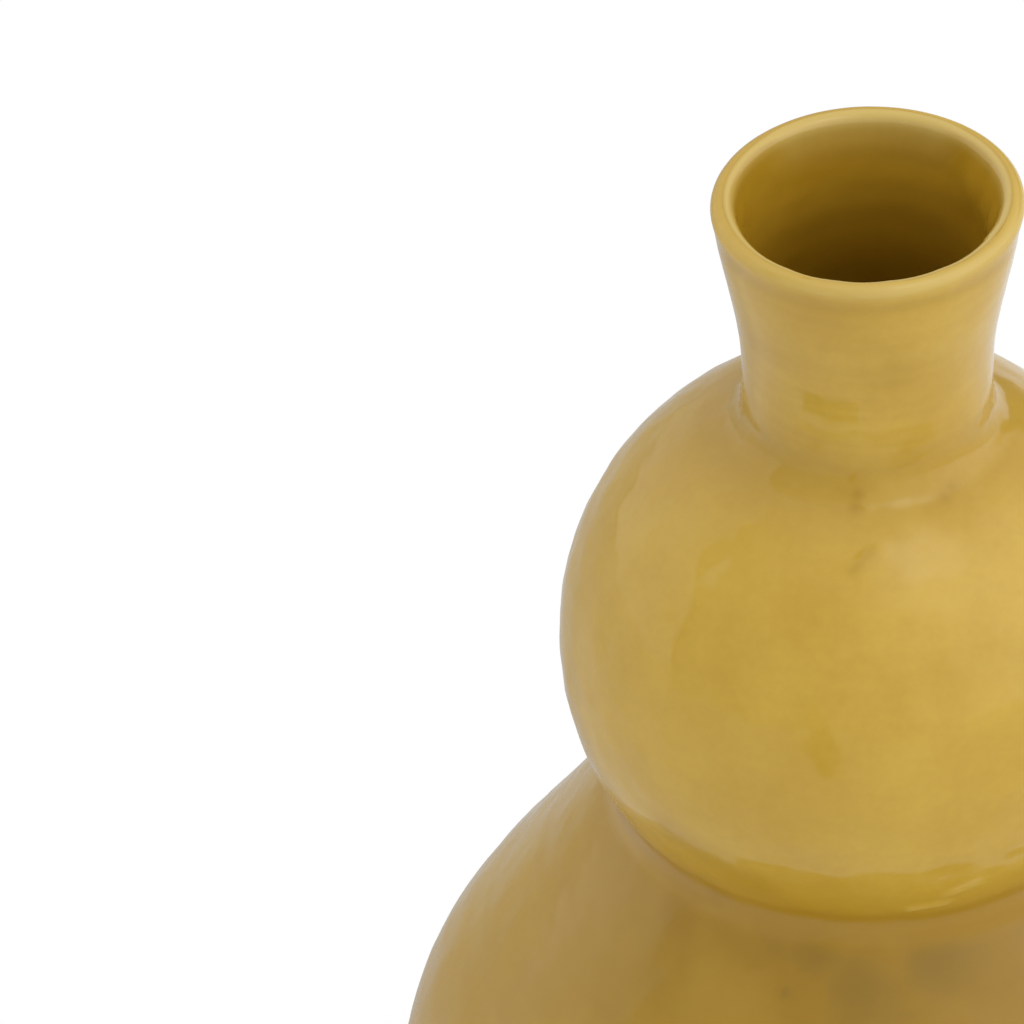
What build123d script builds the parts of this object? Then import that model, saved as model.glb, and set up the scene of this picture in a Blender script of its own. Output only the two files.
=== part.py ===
from build123d import *

import os
from math import acos, asin, atan2, cos, hypot, pi, radians, sin, sqrt, tan

# Double gourd vase: clay sections luted with slip, two clay coils, a turned foot and two coats of glaze.
# Millimetres. The origin is the centre of the foot's underside, with +Z up the axis of the vase.

# Foot ring
foot_r = 70.0
foot_width = 9.0
foot_height = 6.0
foot_bevel = 1.0
foot_margin = 6.0  # how far the bowl's underside reaches past the foot ring

# Lower bulb: a round belly under a straight, sloping shoulder
belly_r = 121.8
belly_centre_r = 26.3  # the belly's arc is drawn about a centre this far off the axis
shoulder_lean = radians(34.9)  # from the axis of the vase
bare_band = 4.0  # height of bare clay between the underside and the edge of the glaze

# Waist: an upright band under the crease between the bulbs
waist_inset = 12.6  # from the widest line of the upper bulb in to the crease
waist_band = 7.9
waist_hollow = 8.0  # radius of the glaze in the corner under the band

# Upper bulb
bulb_r = 77.6
bulb_centre_r = 4.1  # the bulb's arc is drawn about a centre this far off the axis

# Neck: upright at its root, then a hollow flare that runs out straight to the lip
neck_r = 31.3
neck_hollow = 10.5  # radius of the hollow at the neck's root
neck_upright = 7.2
flare_arc = 126.0
flare_lean = radians(10.9)
flare_run = 27.9

# Clay, slip and glaze
wall = 5.0
floor = 9.0
glaze = 0.6
slip = 0.8
tongue = 1.6  # depth of the ridge and groove in a luted joint
coil_set_back = 0.3  # how far the neck coil's face stays under an even coat of glaze

# Depths counted from the glazed outside
clay_out = glaze
clay_in = glaze + wall
cavity = glaze + wall + glaze
half_lip = cavity / 2
half_slip = slip / 2

upward = pi / 2
inward = pi


class Round:
    """A round stretch of the profile: its centre, its radius, and whether it bulges or is hollow."""

    def __init__(self, r, z, radius, hollow=False):
        self.r = r
        self.z = z
        self.radius = radius
        self.sign = -1 if hollow else 1

    def reach(self, depth):
        """Radius of the parallel curve that lies this deep under the outside."""
        return self.radius - self.sign * depth

    def at(self, angle, depth):
        """Point at an angle counted up from the outward direction."""
        reach = self.reach(depth)
        return (self.r + reach * cos(angle), self.z + reach * sin(angle))

    def at_height(self, z, depth):
        """Outer point at a height."""
        return self.at(asin((z - self.z) / self.reach(depth)), depth)

    def at_radius(self, r, depth, over=1):
        """Point at a distance from the axis, over the centre or, with -1, under it."""
        return self.at(over * acos((r - self.r) / self.reach(depth)), depth)

    def bearing(self, point):
        """Angle under which a point is seen from the centre."""
        return atan2(point[1] - self.z, point[0] - self.r)

    def arc(self, start, end, depth):
        """The stretch between two angles."""
        middle = (start + end) / 2
        return ThreePointArc(*(lift(self.at(angle, depth)) for angle in (start, middle, end)))

    def between(self, a, b, depth):
        """The stretch between two points."""
        return self.arc(self.bearing(a), self.bearing(b), depth)


class Joint:
    """A luted joint: the two faces that the slip fills between, each from the outside to the inside."""

    def __init__(self, low, high):
        self.low = grooved(low(clay_out), low(clay_in))
        self.high = grooved(high(clay_out), high(clay_in))


def grooved(outer, inner):
    """A joint face with its middle lowered, as a groove below the slip or a ridge above it."""
    middle = ((outer[0] + inner[0]) / 2, (outer[1] + inner[1]) / 2 - tongue)
    return [outer, middle, inner]


def lift(point):
    """A point of the profile, as (distance from the axis, height), in the XZ plane."""
    return Vector(point[0], 0, point[1])


def lines(*points):
    """Straight edges through points of the profile."""
    return [Line(lift(a), lift(b)) for a, b in zip(points, points[1:])]


def turn(*edges):
    """The solid that a closed outline sweeps round the axis."""
    return revolve(make_face(edges), Axis.Z)


# Foot and lower bulb
foot_top = foot_height + slip
floor_z = foot_top + floor
belly_arc = belly_r - belly_centre_r
base_r = foot_r + foot_margin
belly_z = foot_top + sqrt(belly_arc**2 - (base_r - belly_centre_r) ** 2)
belly = Round(belly_centre_r, belly_z, belly_arc)


def shoulder(depth, run=0):
    """Point of the straight shoulder, this far up from the belly."""
    r, z = belly.at(shoulder_lean, depth)
    return (r - run * sin(shoulder_lean), z + run * cos(shoulder_lean))


def shoulder_at_radius(r, depth):
    """Point of the straight shoulder at a distance from the axis."""
    return shoulder(depth, (shoulder(depth)[0] - r) / sin(shoulder_lean))


def shoulder_at_height(z, depth):
    """Point of the straight shoulder at a height."""
    return shoulder(depth, (z - shoulder(depth)[1]) / cos(shoulder_lean))


# Waist and upper bulb
waist_r = bulb_r - waist_inset
bulb_arc = bulb_r - bulb_centre_r
band_foot_z = shoulder_at_radius(waist_r, 0)[1]
crease_z = band_foot_z + waist_band
bulb = Round(bulb_centre_r, crease_z + sqrt(bulb_arc**2 - (waist_r - bulb_centre_r) ** 2), bulb_arc)
corner_z = band_foot_z + waist_hollow * tan(shoulder_lean / 2)
corner = Round(waist_r + waist_hollow, corner_z, waist_hollow, hollow=True)
corner_end = inward + shoulder_lean


def crease(depth):
    """Point where the waist band runs up against the upper bulb."""
    return bulb.at_radius(waist_r - depth, depth, over=-1)


def waist_meet(depth):
    """Point where the line of the shoulder runs into the underside of the upper bulb."""
    away = (shoulder(depth)[0] - bulb.r, shoulder(depth)[1] - bulb.z)
    along = away[0] * sin(shoulder_lean) - away[1] * cos(shoulder_lean)
    return shoulder(depth, along - sqrt(along**2 - hypot(*away) ** 2 + bulb.reach(depth) ** 2))


# Neck
root_r = neck_r + neck_hollow
root_span = bulb_arc + neck_hollow
root_z = bulb.z + sqrt(root_span**2 - (root_r - bulb.r) ** 2)
root = Round(root_r, root_z, neck_hollow, hollow=True)
root_angle = bulb.bearing((root_r, root_z))
flare = Round(neck_r + flare_arc, root_z + neck_upright, flare_arc, hollow=True)
flare_end = inward - flare_lean


def flare_top(depth):
    """Point where the straight flare runs into the lip."""
    r, z = flare.at(flare_end, depth)
    return (r + flare_run * sin(flare_lean), z + flare_run * cos(flare_lean))


def neck_meet(depth):
    """Point where the neck's upright line runs into the top of the upper bulb."""
    return bulb.at_radius(neck_r - depth, depth)


lip = Round(*flare_top(half_lip), half_lip)

# Neck coil: its hollow face ends in a blunt edge on the neck and on the bulb
coil_face = clay_out + coil_set_back
coil_reach = root.reach(coil_face)
coil_top = inward + acos(root.reach(clay_out) / coil_reach)
coil_turn = acos((root_span**2 + coil_reach**2 - bulb.reach(clay_out) ** 2) / (2 * root_span * coil_reach))
coil_foot = inward + root_angle - coil_turn

# Luted joints
belly_joint = Joint(
    lambda depth: belly.at_height(belly.z - half_slip, depth),
    lambda depth: belly.at_height(belly.z + half_slip, depth),
)
waist_joint = Joint(
    lambda depth: shoulder_at_height(waist_meet(depth)[1] - half_slip, depth),
    lambda depth: bulb.at_height(waist_meet(depth)[1] + half_slip, depth),
)
bulb_joint = Joint(
    lambda depth: bulb.at_height(bulb.z - half_slip, depth),
    lambda depth: bulb.at_height(bulb.z + half_slip, depth),
)
neck_joint = Joint(
    lambda depth: bulb.at_height(neck_meet(depth)[1] - half_slip, depth),
    lambda depth: (neck_r - depth, neck_meet(depth)[1] + half_slip),
)


def foot_ring():
    """Turned ring that the vase stands on."""
    inner = foot_r - foot_width
    return turn(
        lines(
            (inner, foot_height),
            (inner, foot_bevel),
            (inner + foot_bevel, 0),
            (foot_r - foot_bevel, 0),
            (foot_r, foot_bevel),
            (foot_r, foot_height),
            (inner, foot_height),
        )
    )


def foot_slip():
    """Slip between the foot ring and the bowl."""
    inner = foot_r - foot_width
    corners = [(inner, foot_height), (foot_r, foot_height), (foot_r, foot_top), (inner, foot_top)]
    return turn(lines(*corners, corners[0]))


def base_bowl():
    """Floor of the vase and the wall up to its widest line."""
    base_edge = belly.at_height(foot_top, clay_out)
    floor_edge = belly.at_height(floor_z, clay_in)
    return turn(
        lines((0, floor_z), (0, foot_top), base_edge),
        belly.between(base_edge, belly_joint.low[0], clay_out),
        lines(*belly_joint.low),
        belly.between(belly_joint.low[-1], floor_edge, clay_in),
        lines(floor_edge, (0, floor_z)),
    )


def lower_shoulder():
    """Wall from the widest line of the lower bulb up to the waist."""
    return turn(
        lines(*belly_joint.high),
        belly.between(belly_joint.high[-1], shoulder(clay_in), clay_in),
        lines(shoulder(clay_in), *reversed(waist_joint.low), shoulder(clay_out)),
        belly.between(shoulder(clay_out), belly_joint.high[0], clay_out),
    )


def upper_bowl():
    """Wall from the waist up to the widest line of the upper bulb."""
    return turn(
        lines(*waist_joint.high),
        bulb.between(waist_joint.high[-1], bulb_joint.low[-1], clay_in),
        lines(*reversed(bulb_joint.low)),
        bulb.between(bulb_joint.low[0], waist_joint.high[0], clay_out),
    )


def upper_shoulder():
    """Wall from the widest line of the upper bulb up to the neck."""
    return turn(
        lines(*bulb_joint.high),
        bulb.between(bulb_joint.high[-1], neck_joint.low[-1], clay_in),
        lines(*reversed(neck_joint.low)),
        bulb.between(neck_joint.low[0], bulb_joint.high[0], clay_out),
    )


def neck():
    """Flared neck with its rounded lip."""
    return turn(
        lines(*neck_joint.high, flare.at(inward, clay_in)),
        to_crown(clay_in, flare_end),
        to_crown(clay_out, -flare_lean),
        lines(flare.at(inward, clay_out), neck_joint.high[0]),
    )


def level_slip(curve, joint):
    """Slip in the joint at the widest line of a bulb."""
    return turn(
        lines(*joint.low),
        curve.between(joint.low[-1], joint.high[-1], clay_in),
        lines(*reversed(joint.high)),
        curve.between(joint.high[0], joint.low[0], clay_out),
    )


def waist_slip():
    """Slip between the shoulder of the lower bulb and the underside of the upper one."""
    outer, inner = waist_meet(clay_out), waist_meet(clay_in)
    return turn(
        lines(outer, *waist_joint.low, inner),
        bulb.between(inner, waist_joint.high[-1], clay_in),
        lines(*reversed(waist_joint.high)),
        bulb.between(waist_joint.high[0], outer, clay_out),
    )


def neck_slip():
    """Slip between the top of the upper bulb and the neck."""
    outer, inner = neck_meet(clay_out), neck_meet(clay_in)
    return turn(
        lines(*neck_joint.low),
        bulb.between(neck_joint.low[-1], inner, clay_in),
        lines(inner, *reversed(neck_joint.high), outer),
        bulb.between(outer, neck_joint.low[0], clay_out),
    )


def waist_coil():
    """Coil pressed into the crease of the waist, smoothed to an upright band."""
    meet = waist_meet(clay_out)
    return turn(
        lines(meet, shoulder_at_radius(waist_r - clay_out, clay_out), crease(clay_out)),
        bulb.between(crease(clay_out), meet, clay_out),
    )


def neck_coil():
    """Coil smoothed into the corner at the neck's root."""
    meet = neck_meet(clay_out)
    return turn(
        lines(meet, root.at(coil_top, coil_face)),
        root.arc(coil_top, coil_foot, coil_face),
        bulb.between(root.at(coil_foot, coil_face), meet, clay_out),
    )


def to_crown(depth, lip_start):
    """Flare and lip from the upright neck to the crown of the lip, outside or inside."""
    return [
        flare.arc(inward, flare_end, depth),
        *lines(flare.at(flare_end, depth), flare_top(depth)),
        lip.arc(lip_start, upward, min(depth, cavity - depth)),
    ]


def outer_glaze():
    """Glaze over the outside, from the bare band above the foot to the crown of the lip."""
    glaze_end = belly.bearing(belly.at_height(foot_top + bare_band, 0))
    return turn(
        lines(belly.at(glaze_end, clay_out), belly.at(glaze_end, 0)),
        belly.arc(glaze_end, shoulder_lean, 0),
        lines(shoulder(0), corner.at(corner_end, 0)),
        corner.arc(corner_end, inward, 0),
        lines(corner.at(inward, 0), crease(0)),
        bulb.arc(bulb.bearing(crease(0)), root_angle, 0),
        root.arc(inward + root_angle, inward, 0),
        lines(root.at(inward, 0), flare.at(inward, 0)),
        to_crown(0, -flare_lean),
        lines(lip.at(upward, 0), lip.at(upward, clay_out)),
        to_crown(clay_out, -flare_lean),
        lines(flare.at(inward, clay_out), root.at(coil_top, coil_face)),
        root.arc(coil_top, coil_foot, coil_face),
        bulb.between(root.at(coil_foot, coil_face), crease(clay_out), clay_out),
        lines(crease(clay_out), shoulder_at_radius(waist_r - clay_out, clay_out), shoulder(clay_out)),
        belly.arc(shoulder_lean, glaze_end, clay_out),
    )


def inside(depth, floor_top):
    """Outline of the hollow from the crown of the lip down to the floor."""
    floor_edge = belly.at_height(floor_top, depth)
    return [
        *to_crown(depth, flare_end),
        *lines(flare.at(inward, depth), neck_meet(depth)),
        bulb.between(neck_meet(depth), waist_meet(depth), depth),
        *lines(waist_meet(depth), shoulder(depth)),
        belly.between(shoulder(depth), floor_edge, depth),
        *lines(floor_edge, (0, floor_top)),
    ]


def inner_glaze():
    """Glaze over the inside, from the crown of the lip to the floor."""
    return turn(
        lines(lip.at(upward, 0), lip.at(upward, clay_out)),
        inside(clay_in, floor_z),
        lines((0, floor_z), (0, floor_z + glaze)),
        inside(cavity, floor_z + glaze),
    )


pieces = {
    "foot_ring": foot_ring(),
    "foot_slip": foot_slip(),
    "base_bowl": base_bowl(),
    "belly_slip": level_slip(belly, belly_joint),
    "lower_shoulder": lower_shoulder(),
    "waist_slip": waist_slip(),
    "waist_coil": waist_coil(),
    "upper_bowl": upper_bowl(),
    "bulb_slip": level_slip(bulb, bulb_joint),
    "upper_shoulder": upper_shoulder(),
    "neck_slip": neck_slip(),
    "neck_coil": neck_coil(),
    "neck": neck(),
    "outer_glaze": outer_glaze(),
    "inner_glaze": inner_glaze(),
}

os.makedirs("parts", exist_ok=True)
for name, piece in pieces.items():
    export_step(piece, f"parts/{name}.step")
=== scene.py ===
"""Double gourd vase in ochre glaze: the visual model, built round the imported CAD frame."""

import logging
from collections.abc import Callable, Sequence
from dataclasses import dataclass, field
from enum import Enum
from functools import cached_property
from math import acos, asin, atan2, ceil, cos, exp, hypot, pi, radians, sin, sqrt, tan, tau
from typing import Any, ClassVar

import bpy
from mathutils import Matrix, Vector


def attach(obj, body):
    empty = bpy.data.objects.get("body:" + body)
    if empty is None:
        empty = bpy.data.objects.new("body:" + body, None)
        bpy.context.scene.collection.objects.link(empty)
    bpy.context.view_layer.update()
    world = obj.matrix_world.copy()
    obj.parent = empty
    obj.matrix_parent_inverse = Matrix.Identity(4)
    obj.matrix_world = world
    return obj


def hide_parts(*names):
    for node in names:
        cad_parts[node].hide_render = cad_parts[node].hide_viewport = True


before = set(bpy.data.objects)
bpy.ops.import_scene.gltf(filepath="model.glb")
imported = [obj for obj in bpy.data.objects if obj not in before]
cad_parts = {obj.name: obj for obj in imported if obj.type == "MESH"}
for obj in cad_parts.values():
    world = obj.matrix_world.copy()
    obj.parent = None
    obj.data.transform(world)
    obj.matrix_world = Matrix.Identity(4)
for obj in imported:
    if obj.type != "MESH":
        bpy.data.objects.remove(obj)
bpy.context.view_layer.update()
log = logging.getLogger("vase")

MM = 0.001
UPWARD = pi / 2
INWARD = pi
SAME_PLACE = 1e-6
# Points of the lip stand this many times closer, and one stands this angle beside the crown.
LIP_FINENESS = 3
BESIDE_CROWN = 0.01

Point = tuple[float, float]
Place = tuple[float, float, float]
Span = tuple[float, float]
Colour = tuple[float, float, float]
Weights = dict[str, float]
Inputs = dict[str | int, Any]
Tree = bpy.types.NodeTree
Node = bpy.types.Node
Socket = bpy.types.NodeSocket
Finish = bpy.types.Material
Piece = bpy.types.Object


class Slot(Enum):
    """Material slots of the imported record."""

    CLAY = "stoneware_clay"
    SLIP = "luting_slip"
    GLAZE = "ochre_glaze"


class Face(Enum):
    """What a stretch of a piece's outline borders on."""

    FREE = "free"
    LUTED = "luted"


def smooth(low: float, high: float, value: float) -> float:
    """Eased step.

    Args:
        low: Value at which the step starts.
        high: Value at which the step is complete.
        value: Value to grade.

    Returns:
        A share from 0 to 1.
    """
    share = min(max((value - low) / (high - low), 0.0), 1.0)
    return share * share * (3 - 2 * share)


def bell(distance: float, reach: float) -> float:
    """Share that falls off like a bell with the distance."""
    return exp(-((distance / reach) ** 2))


def straight(start: Point, end: Point, step: float) -> list[Point]:
    """Points along a straight stretch.

    Args:
        start: First point.
        end: Last point.
        step: Widest spacing.

    Returns:
        The points, both ends among them.
    """
    count = max(1, ceil(hypot(end[0] - start[0], end[1] - start[1]) / step))
    return [
        (start[0] + (end[0] - start[0]) * i / count, start[1] + (end[1] - start[1]) * i / count)
        for i in range(count + 1)
    ]


def rounded(start: Point, corner: Point, end: Point, shares: Sequence[float]) -> list[Point]:
    """Points round a worn corner.

    Args:
        start: Where the rounding begins.
        corner: The sharp corner.
        end: Where the rounding ends.
        shares: Shares of the way round at which the points stand.

    Returns:
        The points.
    """
    return [
        tuple((1 - t) ** 2 * start[k] + 2 * t * (1 - t) * corner[k] + t**2 * end[k] for k in (0, 1))
        for t in shares
    ]


@dataclass(frozen=True)
class Bend:
    """A round stretch of the profile about a centre, bulging or hollow; millimetres."""

    r: float
    z: float
    radius: float
    hollow: bool = False

    def reach(self, depth: float) -> float:
        """Radius of the parallel curve this deep under the outside."""
        return self.radius + depth if self.hollow else self.radius - depth

    def at(self, angle: float, depth: float = 0.0) -> Point:
        """Point at an angle counted up from the outward direction."""
        return (self.r + self.reach(depth) * cos(angle), self.z + self.reach(depth) * sin(angle))

    def at_height(self, z: float, depth: float = 0.0) -> Point:
        """Outer point at a height."""
        return self.at(asin((z - self.z) / self.reach(depth)), depth)

    def at_radius(self, r: float, depth: float = 0.0, over: int = 1) -> Point:
        """Point at a distance from the axis, over the centre or, with -1, under it."""
        return self.at(over * acos((r - self.r) / self.reach(depth)), depth)

    def bearing(self, point: Point) -> float:
        """Angle under which a point is seen from the centre."""
        return atan2(point[1] - self.z, point[0] - self.r)

    def sweep(self, start: float, end: float, depth: float, step: float) -> list[Point]:
        """Points along the bend.

        Args:
            start: First angle.
            end: Last angle.
            depth: Depth under the outside.
            step: Widest spacing.

        Returns:
            The points, both ends among them.
        """
        count = max(2, ceil(abs(end - start) * self.reach(depth) / step))
        return [self.at(start + (end - start) * i / count, depth) for i in range(count + 1)]

    def between(self, start: Point, end: Point, depth: float, step: float) -> list[Point]:
        """Points along the bend from one of its points to another."""
        return self.sweep(self.bearing(start), self.bearing(end), depth, step)


@dataclass(frozen=True)
class Profile:
    """Section of the whole vase, in millimetres, with the sizes that drive the CAD model."""

    foot_r: float = 70.0
    foot_width: float = 9.0
    foot_height: float = 6.0
    foot_bevel: float = 1.0
    foot_margin: float = 6.0
    belly_r: float = 121.8
    belly_centre_r: float = 26.3
    shoulder_lean: float = radians(34.9)
    bare_band: float = 4.0
    waist_inset: float = 12.6
    waist_band: float = 7.9
    bulb_r: float = 77.6
    bulb_centre_r: float = 4.1
    neck_r: float = 31.3
    neck_hollow: float = 10.5
    neck_upright: float = 7.2
    flare_arc: float = 126.0
    flare_lean: float = radians(10.9)
    flare_run: float = 27.9
    wall: float = 5.0
    floor: float = 9.0
    glaze: float = 0.6
    slip: float = 0.8
    tongue: float = 1.6
    coil_set_back: float = 0.3

    @property
    def clay_in(self) -> float:
        """Depth of the clay's inner side."""
        return self.glaze + self.wall

    @property
    def cavity(self) -> float:
        """Depth of the hollow inside."""
        return self.clay_in + self.glaze

    @property
    def foot_top(self) -> float:
        """Height of the bowl's underside."""
        return self.foot_height + self.slip

    @property
    def glaze_edge(self) -> float:
        """Height of the lower edge of the outer glaze."""
        return self.foot_top + self.bare_band

    @property
    def floor_z(self) -> float:
        """Height of the clay floor inside."""
        return self.foot_top + self.floor

    @property
    def waist_r(self) -> float:
        """Distance of the waist band from the axis."""
        return self.bulb_r - self.waist_inset

    @cached_property
    def belly(self) -> Bend:
        """Round of the lower bulb.

        Returns:
            The bend that rises from the foot's margin to the shoulder.
        """
        arc = self.belly_r - self.belly_centre_r
        base = self.foot_r + self.foot_margin - self.belly_centre_r
        return Bend(self.belly_centre_r, self.foot_top + sqrt(arc**2 - base**2), arc)

    def shoulder(self, depth: float, run: float = 0.0) -> Point:
        """Point of the straight shoulder, this far up from the belly."""
        r, z = self.belly.at(self.shoulder_lean, depth)
        return (r - run * sin(self.shoulder_lean), z + run * cos(self.shoulder_lean))

    def shoulder_at_radius(self, r: float, depth: float) -> Point:
        """Point of the straight shoulder at a distance from the axis."""
        return self.shoulder(depth, (self.shoulder(depth)[0] - r) / sin(self.shoulder_lean))

    @cached_property
    def band_foot_z(self) -> float:
        """Height at which the shoulder's line reaches the waist band."""
        return self.shoulder_at_radius(self.waist_r, 0)[1]

    @cached_property
    def bulb(self) -> Bend:
        """Round of the upper bulb.

        Returns:
            The bend that rises from the crease to the neck's root.
        """
        arc = self.bulb_r - self.bulb_centre_r
        crease_z = self.band_foot_z + self.waist_band
        rise = sqrt(arc**2 - (self.waist_r - self.bulb_centre_r) ** 2)
        return Bend(self.bulb_centre_r, crease_z + rise, arc)

    def crease(self, depth: float) -> Point:
        """Point where the waist band runs up against the upper bulb."""
        return self.bulb.at_radius(self.waist_r - depth, depth, over=-1)

    def waist_meet(self, depth: float) -> Point:
        """Point where the line of the shoulder runs into the underside of the upper bulb.

        Args:
            depth: Depth under the outside.

        Returns:
            The point of the section.
        """
        start = self.shoulder(depth)
        away = (start[0] - self.bulb.r, start[1] - self.bulb.z)
        along = away[0] * sin(self.shoulder_lean) - away[1] * cos(self.shoulder_lean)
        run = along - sqrt(along**2 - hypot(*away) ** 2 + self.bulb.reach(depth) ** 2)
        return self.shoulder(depth, run)

    @cached_property
    def root(self) -> Bend:
        """Hollow at the neck's root.

        Returns:
            The bend between the upper bulb and the upright neck.
        """
        r = self.neck_r + self.neck_hollow
        span = self.bulb.radius + self.neck_hollow
        z = self.bulb.z + sqrt(span**2 - (r - self.bulb.r) ** 2)
        return Bend(r, z, self.neck_hollow, hollow=True)

    @cached_property
    def root_angle(self) -> float:
        """Angle on the upper bulb at which the neck's hollow begins."""
        return self.bulb.bearing((self.root.r, self.root.z))

    @cached_property
    def flare(self) -> Bend:
        """Hollow flare of the neck."""
        z = self.root.z + self.neck_upright
        return Bend(self.neck_r + self.flare_arc, z, self.flare_arc, hollow=True)

    def flare_top(self, depth: float) -> Point:
        """Point where the straight flare runs into the lip."""
        r, z = self.flare.at(INWARD - self.flare_lean, depth)
        return (r + self.flare_run * sin(self.flare_lean), z + self.flare_run * cos(self.flare_lean))

    def neck_meet(self, depth: float) -> Point:
        """Point where the neck's upright line runs into the top of the upper bulb."""
        return self.bulb.at_radius(self.neck_r - depth, depth)

    @cached_property
    def lip(self) -> Bend:
        """Round of the lip."""
        return Bend(*self.flare_top(self.cavity / 2), self.cavity / 2)

    @property
    def lip_z(self) -> float:
        """Height of the crown of the lip."""
        return self.lip.z + self.lip.radius

    def from_lip(self, span: Span, z: float) -> float:
        """Share of a height within a span counted up from the centre of the lip's round."""
        return smooth(self.lip.z + span[0], self.lip.z + span[1], z)

    def grooved(self, outer: Point, inner: Point) -> list[Point]:
        """A luted joint face with its middle lowered."""
        return [outer, ((outer[0] + inner[0]) / 2, (outer[1] + inner[1]) / 2 - self.tongue), inner]

    def to_crown(self, depth: float, step: float) -> list[Point]:
        """Flare and lip from the upright neck to the crown of the lip.

        Args:
            depth: Depth under the outside; past the middle of the wall it is the inner side.
            step: Widest spacing of the points.

        Returns:
            The points from the neck up to the crown.
        """
        flare_end = INWARD - self.flare_lean
        outside = depth < self.cavity / 2
        lip_start, beside = (-self.flare_lean, -BESIDE_CROWN) if outside else (flare_end, BESIDE_CROWN)
        under = min(depth, self.cavity - depth)
        return [
            *self.flare.sweep(INWARD, flare_end, depth, step),
            *straight(self.flare.at(flare_end, depth), self.flare_top(depth), step),
            *self.lip.sweep(lip_start, UPWARD, under, step / LIP_FINENESS)[:-1],
            self.lip.at(UPWARD + beside, under),
            self.lip.at(UPWARD, under),
        ]


profile = Profile()


@dataclass
class Outline:
    """Closed section of one piece, walked with the clay or glaze on the left; millimetres."""

    points: list[Point] = field(default_factory=list)
    faces: list[Face] = field(default_factory=list)

    def add(self, points: Sequence[Point], face: Face) -> None:
        """Adds a stretch, without a point that repeats the one before.

        Args:
            points: Points in order.
            face: What the stretch borders on.
        """
        for r, z in points:
            if self.points and hypot(r - self.points[-1][0], z - self.points[-1][1]) < SAME_PLACE:
                continue
            self.points.append((r, z))
            self.faces.append(face)

    def outward(self) -> list[Point]:
        """Directions away from the piece.

        Returns:
            A unit direction for each point.
        """
        count = len(self.points)
        closed = self.points[0][0] > SAME_PLACE
        result = []
        for i in range(count):
            before = (i - 1) % count if i or closed else 0
            after = (i + 1) % count if i < count - 1 or closed else i
            if self.faces[i] is Face.FREE and self.faces[before] is Face.LUTED:
                before = i
            elif self.faces[i] is Face.FREE and self.faces[after] is Face.LUTED:
                after = i
            start, end = self.points[before], self.points[after]
            along = (end[0] - start[0], end[1] - start[1])
            length = hypot(*along)
            result.append((along[1] / length, -along[0] / length))
        return result


@dataclass(frozen=True)
class Mark:
    """A soft dent, or with a negative depth a bead, left in the wall; degrees and millimetres.

    Its tone says how much deeper, or with a negative tone thinner, the glaze lies there; some marks use it
    to lay on painted shade and painted dark reflections.
    """

    angle: float
    height: float
    r: float
    radius: float
    depth: float = 0.0
    tone: float = 0.0


def trail(
    start: Place, end: Place, count: int, radius: float, depth: float = 0.0, tone: float = 0.0
) -> tuple[Mark, ...]:
    """A row of marks, as a finger drawn over the glaze leaves it; some rows lay on painted shade, others
    painted dark reflections.

    Args:
        start: First place: degrees round the axis, height, distance from the axis.
        end: Last place.
        count: Number of marks.
        radius: Reach of each mark.
        depth: Depth of each mark.
        tone: How much deeper the glaze lies in them, which some rows use for painted shade.

    Returns:
        The marks.
    """
    row = []
    for i in range(count):
        place = (a + (b - a) * i / (count - 1) for a, b in zip(start, end))
        row.append(Mark(*place, radius, depth, tone))
    return tuple(row)


def linked(name: str, data: Any) -> Piece:
    """Makes an object and places it in the scene.

    Args:
        name: Name of the object.
        data: Its mesh or camera.

    Returns:
        The object at the origin.
    """
    made = bpy.data.objects.new(name, data)
    bpy.context.scene.collection.objects.link(made)
    return made


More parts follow.
